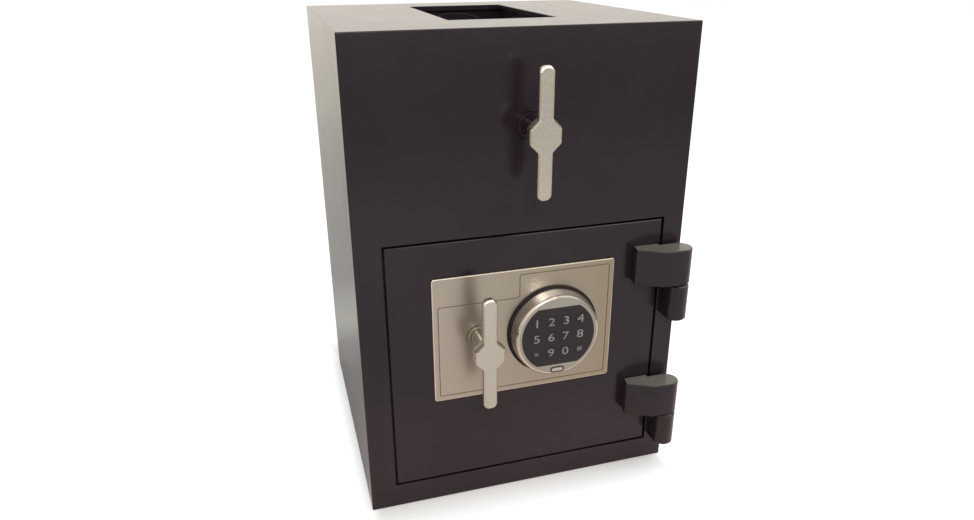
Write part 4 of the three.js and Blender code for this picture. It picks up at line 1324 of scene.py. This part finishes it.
@dataclass(frozen=True)
class Keypad:
    """The round keypad: gasket, housing, fascia, keys with their legends, and oval window."""

    face_radius: float = 47.4
    base_inset: float = 0.5
    rim: float = 3.4
    rim_steps: int = 12
    segments: int = 160
    # Painted shade on the rim over this arc of turn; a painted glint on the wall, its middle offset
    # along X and its reach given next.
    shaded_arc: Range = (math.radians(15), math.radians(95))
    glint_offset: float = -10.0
    glint_reach: float = 18.0
    fascia_radius: float = 41.3
    fascia_half_height: float = 34.2
    fascia_fillet: float = 5.0
    fascia_edge: float = 0.1
    pocket_clearance: float = 0.2
    key_corner_radius: float = 3.0
    key_clearance: float = 0.12
    key_flange: float = 1.0
    key_edge: float = 0.08
    key_edge_steps: int = 3
    key_sink: float = 0.25
    window_rim: float = 1.4
    window_rim_edge: float = 0.15
    window_step: float = 0.25
    pane_clearance: float = 0.05
    pane_edge: float = 0.2
    legend_height: float = 9.2
    legend_spread: float = 1.25
    legend_thickness: float = 0.08
    legend_lift: float = 0.02
    legend_steps: int = 4
    legends: dict[str, tuple[str, float]] = field(
        default_factory=lambda: {
            **{digit: (digit, 1.0) for digit in "1234567890"},
            "star": ("*", 0.5),
            "hash": ("#", 0.6),
        }
    )

    def add_gasket(self) -> None:
        """Build the rubber gasket behind the housing."""
        low, high = box_mm("keypad_gasket")
        radius = (high.x - low.x) / 2
        edge = rolled(radius, low.y, (high.y - low.y) / 2)
        profile = [(0.0, high.y), (radius, high.y), *edge, (0.0, low.y)]
        mesh = turned(profile, *middle_of("keypad_gasket"))
        Piece.of("keypad_gasket", "black_rubber", BLACK_RUBBER).add(mesh)

    def add_housing(self) -> None:
        """Build the housing, with a pocket for the fascia and a seat for the window."""
        low, high = box_mm("keypad_housing")
        across, up = middle_of("keypad_gasket")
        base_radius = (high.x - low.x) / 2 - self.base_inset
        edge = rolled(self.face_radius, low.y, self.rim, self.rim_steps)
        profile = [(0.0, high.y), (base_radius, high.y), *edge, (0.0, low.y)]
        gap = self.pocket_clearance
        pocket = flattened_circle(
            self.fascia_radius + gap, self.fascia_half_height + gap, self.fascia_fillet
        )
        seat = self.window_outline(self.window_rim + gap)
        holes = {"keypad_fascia": shifted(pocket, across, up), "keypad_window": seat}
        cutters = [
            sheet([outline], low.y - OVERSHOOT, box_mm(node)[1].y + gap)
            for node, outline in holes.items()
        ]
        mesh = carved(turned(profile, across, up, self.segments), cutters)
        self.paint_housing(mesh, low.y)
        Piece.of("keypad_housing", "polished_chrome", FACE_CHROME).add(mesh)

    def paint_housing(self, mesh: Mesh, front: float) -> None:
        """Give the housing's face, rim and wall their chrome, with painted light: a lighter rim as a
        painted highlight, a darker arc of the rim at its upper right as painted shade, and a bright
        band on the wall's upper half as a painted glint.

        Args:
            mesh: The housing.
            front: Y of its front.
        """
        across, up = middle_of("keypad_gasket")
        finishes = [FACE_CHROME, RIM_HIGHLIGHT_CHROME, WALL_CHROME, SHADE_CHROME, GLINT_CHROME]
        band = ((across + self.glint_offset) * MM, self.glint_reach * MM)
        axis = (across * MM, 0.0, up * MM)
        about = [replace(finish, axis=axis) for finish in finishes]
        coated(mesh, *about[:-1], replace(about[-1], glint_band_m=band))
        for face in mesh.polygons:
            radius, turn = polar(face, across, up)
            if radius <= self.face_radius - self.rim or face.normal.y <= -FRONTAL_COSINE:
                continue
            if face.center.y / MM < front + self.rim:
                shaded = self.shaded_arc[0] < turn < self.shaded_arc[1]
                finish = SHADE_CHROME if shaded else RIM_HIGHLIGHT_CHROME
            else:
                finish = GLINT_CHROME if face.normal.z > 0 else WALL_CHROME
            face.material_index = finishes.index(finish)

    def key_outline(self, key: str, margin: float) -> Outline:
        """Draw a key.

        Args:
            key: The key's name.
            margin: How far the outline lies outside the key.

        Returns:
            The outline.
        """
        low, high = box_mm(f"key_{key}")
        inset = self.key_flange - margin
        radius = self.key_corner_radius + margin
        return rounded_box(low.x + inset, high.x - inset, low.z + inset, high.z - inset, radius)

    def add_fascia(self) -> None:
        """Build the black fascia with a hole for each key."""
        low, high = box_mm("keypad_fascia")
        outside = flattened_circle(
            self.fascia_radius, self.fascia_half_height, self.fascia_fillet
        )
        holes = [self.key_outline(key, self.key_clearance) for key in self.legends]
        outlines = [shifted(outside, *middle_of("keypad_gasket")), *holes]
        mesh = sheet(outlines, low.y, high.y, self.fascia_edge)
        Piece.of("keypad_fascia", "black_fascia", BLACK_FASCIA).add(mesh)

    def add_keys(self) -> None:
        """Build each key and print its legend on it."""
        for key, (character, share) in self.legends.items():
            node = f"key_{key}"
            low, high = box_mm(node)
            front = low.y + self.key_sink
            outline = self.key_outline(key, 0.0)
            cap = sheet([outline], front, high.y, self.key_edge, self.key_edge_steps)
            Piece(f"{node}_cap", node, "black_rubber", BLACK_FASCIA, (node,)).add(cap)
            glyph = self.legend(character, self.legend_height * share, middle_of(node), front)
            Piece(f"{node}_legend", node, "pale_window", LEGEND_INK).add(glyph)

    def legend(
        self, character: str, height: float, centre: tuple[float, float], front: float
    ) -> Mesh:
        """Print one character.

        Args:
            character: What is printed.
            height: Its height.
            centre: X and Z of its middle.
            front: Y of the face that carries it.

        Returns:
            Its mesh, a thin layer on that face.
        """
        text = bpy.data.curves.new("legend", "FONT")
        text.body = character
        text.resolution_u = self.legend_steps
        text.extrude = 1.0
        mesh = mesh_of(text)
        lows, highs = (
            Vector([end(v.co[axis] for v in mesh.vertices) for axis in range(3)])
            for end in (min, max)
        )
        scale = height * MM / (highs.y - lows.y)
        thin = self.legend_thickness * MM / (highs.z - lows.z)
        mesh.transform(Matrix.Translation(-(lows + highs) / 2))
        mesh.transform(Matrix.Diagonal((scale * self.legend_spread, scale, thin, 1.0)))
        place = Vector((centre[0], front - self.legend_lift, centre[1])) * MM
        mesh.transform(Matrix.Translation(place) @ FACING_FRONT)
        return mesh

    def window_outline(self, margin: float) -> Outline:
        """Draw the oval window.

        Args:
            margin: How far the outline lies outside the window.

        Returns:
            The outline.
        """
        low, high = box_mm("keypad_window")
        radius = (high.z - low.z) / 2
        half_run = (high.x - low.x) / 2 - radius
        return oval(half_run, radius - self.window_rim + margin, *middle_of("keypad_window"))

    def add_window(self) -> None:
        """Build the oval window and its dark rim."""
        low, high = box_mm("keypad_window")
        front = low.y + self.window_step
        pane = sheet([self.window_outline(-self.pane_clearance)], front, high.y, self.pane_edge)
        Piece("window_pane", "door", "pale_window", PALE_WINDOW, ("keypad_window",)).add(pane)
        outlines = [self.window_outline(margin) for margin in (self.window_rim, 0.0)]
        rim = sheet(outlines, low.y, high.y, self.window_rim_edge)
        Piece("window_rim", "door", "black_fascia", DARK_RIM).add(rim)

    def build(self) -> None:
        """Build the whole keypad."""
        self.add_gasket()
        self.add_housing()
        self.add_fascia()
        self.add_keys()
        self.add_window()


@dataclass(frozen=True)
class Door:
    """The door with its plate, keypad, handle and hinges' moving halves."""

    edge: float = 0.2
    bush_edge: float = 0.1
    escutcheon: Escutcheon = field(default_factory=Escutcheon)
    keypad: Keypad = field(default_factory=Keypad)
    handle: Handle = field(default_factory=lambda: Handle("bolt_handle"))

    def build(self) -> None:
        """Dress the door and build what is fixed to its front."""
        dress("charcoal_enamel", CHARCOAL_ENAMEL, "door_plate", edge=0.0)
        look = ("charcoal_enamel", CHARCOAL_ENAMEL, self.edge)
        for place in ("upper", "lower"):
            knuckle = f"{place}_hinge_door_knuckle"
            Dressing(knuckle, *look, top_finish=TOP_LIT_ENAMEL).add()
        self.escutcheon.build()
        self.keypad.build()
        self.handle.build()
        # Painted shade: the spindle's darker chrome stands in for its dark reflections.
        dress("polished_chrome", SPINDLE_SHADE_CHROME, "bolt_spindle", edge=0.0)
        dress("polished_chrome", BRUSHED_PLATE, "bolt_spindle_bush", edge=self.bush_edge)


@dataclass(frozen=True)
class BoltWork:
    """The bolts, their carriage and guides, the lock, and the cover with its screws."""

    cover_edge: float = 0.4
    cover_field_height: float = 2.0
    carriage_edge: float = 0.2
    lock_edge: float = 0.4
    screw_inset: float = 9.0
    screws: PanScrews = field(default_factory=PanScrews)

    def screw_places(self) -> list[Corner]:
        """Find where the cover's screws stand.

        Returns:
            Places on the cover's flat band, at its corners and halfway up.
        """
        low, high = box_mm("bolt_work_cover")
        band = high.y - self.cover_field_height
        columns = (low.x + self.screw_inset, high.x - self.screw_inset)
        rows = (low.z + self.screw_inset, (low.z + high.z) / 2, high.z - self.screw_inset)
        return [(x, band, z) for x in columns for z in rows]

    def build(self) -> None:
        """Dress the bolt work and fit the cover's screws."""
        dress("charcoal_enamel", CHARCOAL_ENAMEL, "bolt_work_cover", edge=self.cover_edge)
        guides = ("upper_bolt_guide", "lower_bolt_guide")
        dress("zinc_plated", ZINC, "dog_bar", *guides, "bolt_crank")
        dress("zinc_plated", ZINC, "bolt_carriage", edge=self.carriage_edge)
        studs = ("upper_carriage_stud", "lower_carriage_stud")
        dress("bright_steel", BRIGHT_STEEL, "upper_bolt", "lower_bolt", "lock_bolt", *studs)
        dress("lock_casting", LOCK_CASTING, "lock_body", edge=self.lock_edge)
        screws = self.screws.mesh(self.screw_places(), Vector((0.0, 1.0, 0.0)), ZINC)
        Piece("cover_screws", "door", "zinc_plated", ZINC).add(screws)


# Studio


def larger(nodes: Nodes, first: Socket, second: Socket) -> Socket:
    """Give the larger of two values."""
    return nodes.add("ShaderNodeMath", {0: first, 1: second}, operation="MAXIMUM").outputs[0]


@dataclass(frozen=True)
class PhotoCamera:
    """The camera, where the photograph was taken from."""

    place_m: tuple[float, float, float] = (-0.24291, -0.84765, 0.58445)
    forward: tuple[float, float, float] = (0.26148, 0.88462, -0.38611)
    up: tuple[float, float, float] = (0.11372, 0.36901, 0.92244)
    lens_mm: float = 27.34
    sensor_mm: float = 36.0

    def add(self) -> None:
        """Add the camera and make it the scene's own."""
        data = bpy.data.cameras.new("photo_camera")
        data.lens = self.lens_mm
        data.sensor_width = self.sensor_mm
        data.sensor_fit = "HORIZONTAL"
        back = -Vector(self.forward).normalized()
        right = Vector(self.up).cross(back).normalized()
        up = back.cross(right)
        turn = Matrix((right, up, back)).transposed().to_4x4()
        camera = linked("photo_camera", data)
        camera.matrix_world = Matrix.Translation(self.place_m) @ turn
        bpy.context.scene.camera = camera


@dataclass(frozen=True)
class Lamp:
    """A soft square lamp."""

    name: str
    place_m: tuple[float, float, float]
    aim_m: tuple[float, float, float]
    watts: float
    side_m: float
    colour: tuple[float, float, float] = (1.0, 0.98, 0.95)

    def add(self) -> None:
        """Add the lamp."""
        data = bpy.data.lights.new(self.name, "AREA")
        data.energy = self.watts
        data.size = self.side_m
        data.color = self.colour
        aim = Vector(self.aim_m) - Vector(self.place_m)
        turn = aim.to_track_quat("-Z", "Y").to_matrix().to_4x4()
        linked(self.name, data).matrix_world = Matrix.Translation(self.place_m) @ turn


@dataclass(frozen=True)
class Studio:
    """A white room: pale floor, white surroundings and soft lamps.

    The camera sees the floor lifted to white, though less so close to the cabinet's footprint,
    which paints a contact shadow there. The paint mirrors the floor in the colours listed at
    distances along Y, a painted reflection with bands of light and of shade.
    """

    ambient: float = 0.55
    floor_half_m: float = 6.0
    floor_drop_m: float = 0.0005
    floor_colour: Colour = (0.74, 0.715, 0.685, 1.0)
    floor_glow: Colour = (1.0, 1.03, 1.07, 1.0)
    # The lift's share falls close to the cabinet's footprint: a painted contact shadow.
    floor_lift: float = 0.66
    floor_lift_share: Range = (0.25, 1.0)
    floor_lift_reach_m: Range = (-0.012, 0.012)
    footprint_scale: tuple[float, float, float] = (1.0, 0.35, 0.0)
    footprint_offset_m: tuple[float, float, float] = (-0.18, -0.0732, 0.0)
    # Painted reflection: colours that the paint mirrors at distances along Y, with a bright band and
    # darker shade near the cabinet.
    floor_near_m: float = -0.6
    floor_painted_reflection: tuple[tuple[float, Corner], ...] = (
        (-0.42, (0.08, 0.04, 0.03)),
        (-0.24, (0.74, 0.36, 0.33)),
        (-0.1, (0.05, 0.02, 0.02)),
        (0.05, (0.0, 0.0, 0.0)),
        (0.22, (0.02, 0.02, 0.02)),
        (0.29, (0.4, 0.4, 0.34)),
        (0.38, (0.26, 0.26, 0.22)),
        (0.5, (0.02, 0.02, 0.01)),
        (0.75, (0.03, 0.03, 0.02)),
        (1.3, (0.17, 0.17, 0.12)),
        (2.4, (0.58, 0.54, 0.42)),
        (4.4, (0.82, 0.73, 0.58)),
        (6.0, (0.95, 0.85, 0.7)),
    )
    room_colour: Colour = (1.0, 0.94, 0.85, 1.0)
    room_strength: float = 1.1
    lamps: tuple[Lamp, ...] = (
        Lamp("key", (-0.2, -1.55, 1.2), (0.0, 0.0, 0.25), 11.0, 0.35),
        Lamp("side", (1.2, -0.6, 1.7), (0.0, 0.0, 0.25), 17.0, 1.8),
    )

    def light_world(self) -> None:
        """Make the surroundings white where they are seen, and dimmer as a light."""
        world = bpy.data.worlds.new("white_room")
        bpy.context.scene.world = world
        world.use_nodes = True
        nodes = Nodes(world.node_tree)
        rays = nodes.add("ShaderNodeLightPath").outputs
        ambient, mirrored, backdrop = (
            nodes.add("ShaderNodeBackground", {"Color": colour, "Strength": strength}).outputs[0]
            for colour, strength in (
                (WHITE, self.ambient),
                (self.room_colour, self.room_strength),
                (WHITE, 1.0),
            )
        )
        indirect = larger(nodes, rays["Is Glossy Ray"], rays["Is Transmission Ray"])
        inputs = {0: indirect, 1: ambient, 2: mirrored}
        unseen = nodes.add("ShaderNodeMixShader", inputs).outputs[0]
        inputs = {0: rays["Is Camera Ray"], 1: unseen, 2: backdrop}
        shown = nodes.add("ShaderNodeMixShader", inputs).outputs[0]
        nodes.add("ShaderNodeOutputWorld", {"Surface": shown})

    def painted_reflection_colour(self, nodes: Nodes, place: Socket) -> Socket:
        """Give the floor's colour as the paint mirrors it: a painted reflection, with bands of light
        and of shade at listed distances along Y.

        Args:
            nodes: The floor's node tree.
            place: The object coordinates.

        Returns:
            The colour.
        """
        along = nodes.add("ShaderNodeSeparateXYZ", {0: place}).outputs["Y"]
        share = nodes.between(along, span=(self.floor_near_m, self.floor_half_m))
        ramp = nodes.add("ShaderNodeValToRGB", {"Fac": share})
        stops = ramp.color_ramp.elements
        stops[0].color = BLACK
        stops.remove(stops[1])
        span = self.floor_half_m - self.floor_near_m
        for distance, colour in self.floor_painted_reflection:
            stops.new((distance - self.floor_near_m) / span).color = (*colour, 1.0)
        return ramp.outputs["Color"]

    def seen_floor(self, nodes: Nodes, place: Socket) -> Socket:
        """Give the floor's glow as the camera sees it, dimmer next to the cabinet as a painted
        contact shadow.

        Args:
            nodes: The floor's node tree.
            place: The object coordinates.

        Returns:
            The colour.
        """
        kind = "ShaderNodeVectorMath"
        quarter = nodes.add(kind, {0: place}, operation="ABSOLUTE").outputs[0]
        inputs = {0: quarter, 1: self.footprint_scale, 2: self.footprint_offset_m}
        outside = nodes.add(kind, inputs, operation="MULTIPLY_ADD").outputs[0]
        sides = nodes.add("ShaderNodeSeparateXYZ", {0: outside}).outputs
        away = larger(nodes, sides["X"], sides["Y"])
        share = nodes.between(away, *self.floor_lift_share, self.floor_lift_reach_m)
        return nodes.blend(share, BLACK, self.floor_glow)

    def floor_material(self) -> Material:
        """Make the floor's pale surface, lifted to white where the camera sees it.

        Returns:
            The material.
        """
        material = bpy.data.materials.new("pale_floor")
        material.use_nodes = True
        nodes = Nodes(material.node_tree)
        rays = nodes.add("ShaderNodeLightPath").outputs
        place = nodes.add("ShaderNodeTexCoord").outputs["Object"]
        indirect = larger(nodes, rays["Is Glossy Ray"], rays["Is Transmission Ray"])
        colour = nodes.blend(indirect, BLACK, self.painted_reflection_colour(nodes, place))
        colour = nodes.blend(rays["Is Camera Ray"], colour, self.seen_floor(nodes, place))
        surface = nodes.add("ShaderNodeBsdfDiffuse", {"Color": self.floor_colour}).outputs[0]
        lift = {"Color": colour, "Strength": self.floor_lift}
        glow = nodes.add("ShaderNodeEmission", lift).outputs[0]
        both = nodes.add("ShaderNodeAddShader", {0: surface, 1: glow}).outputs[0]
        nodes.add("ShaderNodeOutputMaterial", {"Surface": both})
        return material

    def add_floor(self) -> None:
        """Add the floor just under the safe."""
        reach, level = self.floor_half_m, -self.floor_drop_m
        mesh = bpy.data.meshes.new("floor")
        corners = [(-reach, -reach), (reach, -reach), (reach, reach), (-reach, reach)]
        mesh.from_pydata([(x, y, level) for x, y in corners], [], [(0, 1, 2, 3)])
        mesh.materials.append(self.floor_material())
        floor = linked("floor", mesh)

    def build(self) -> None:
        """Set up the light and the floor."""
        bpy.context.scene.view_settings.view_transform = "Standard"
        self.light_world()
        self.add_floor()
        for lamp in self.lamps:
            lamp.add()


def main() -> None:
    """Build the studio, then each sub-assembly in order."""
    logging.basicConfig(level=logging.INFO, format="%(message)s")
    PhotoCamera().add()
    Studio().build()
    Cabinet().build()
    Hopper().build()
    Door().build()
    BoltWork().build()


if __name__ == "__main__":
    main()
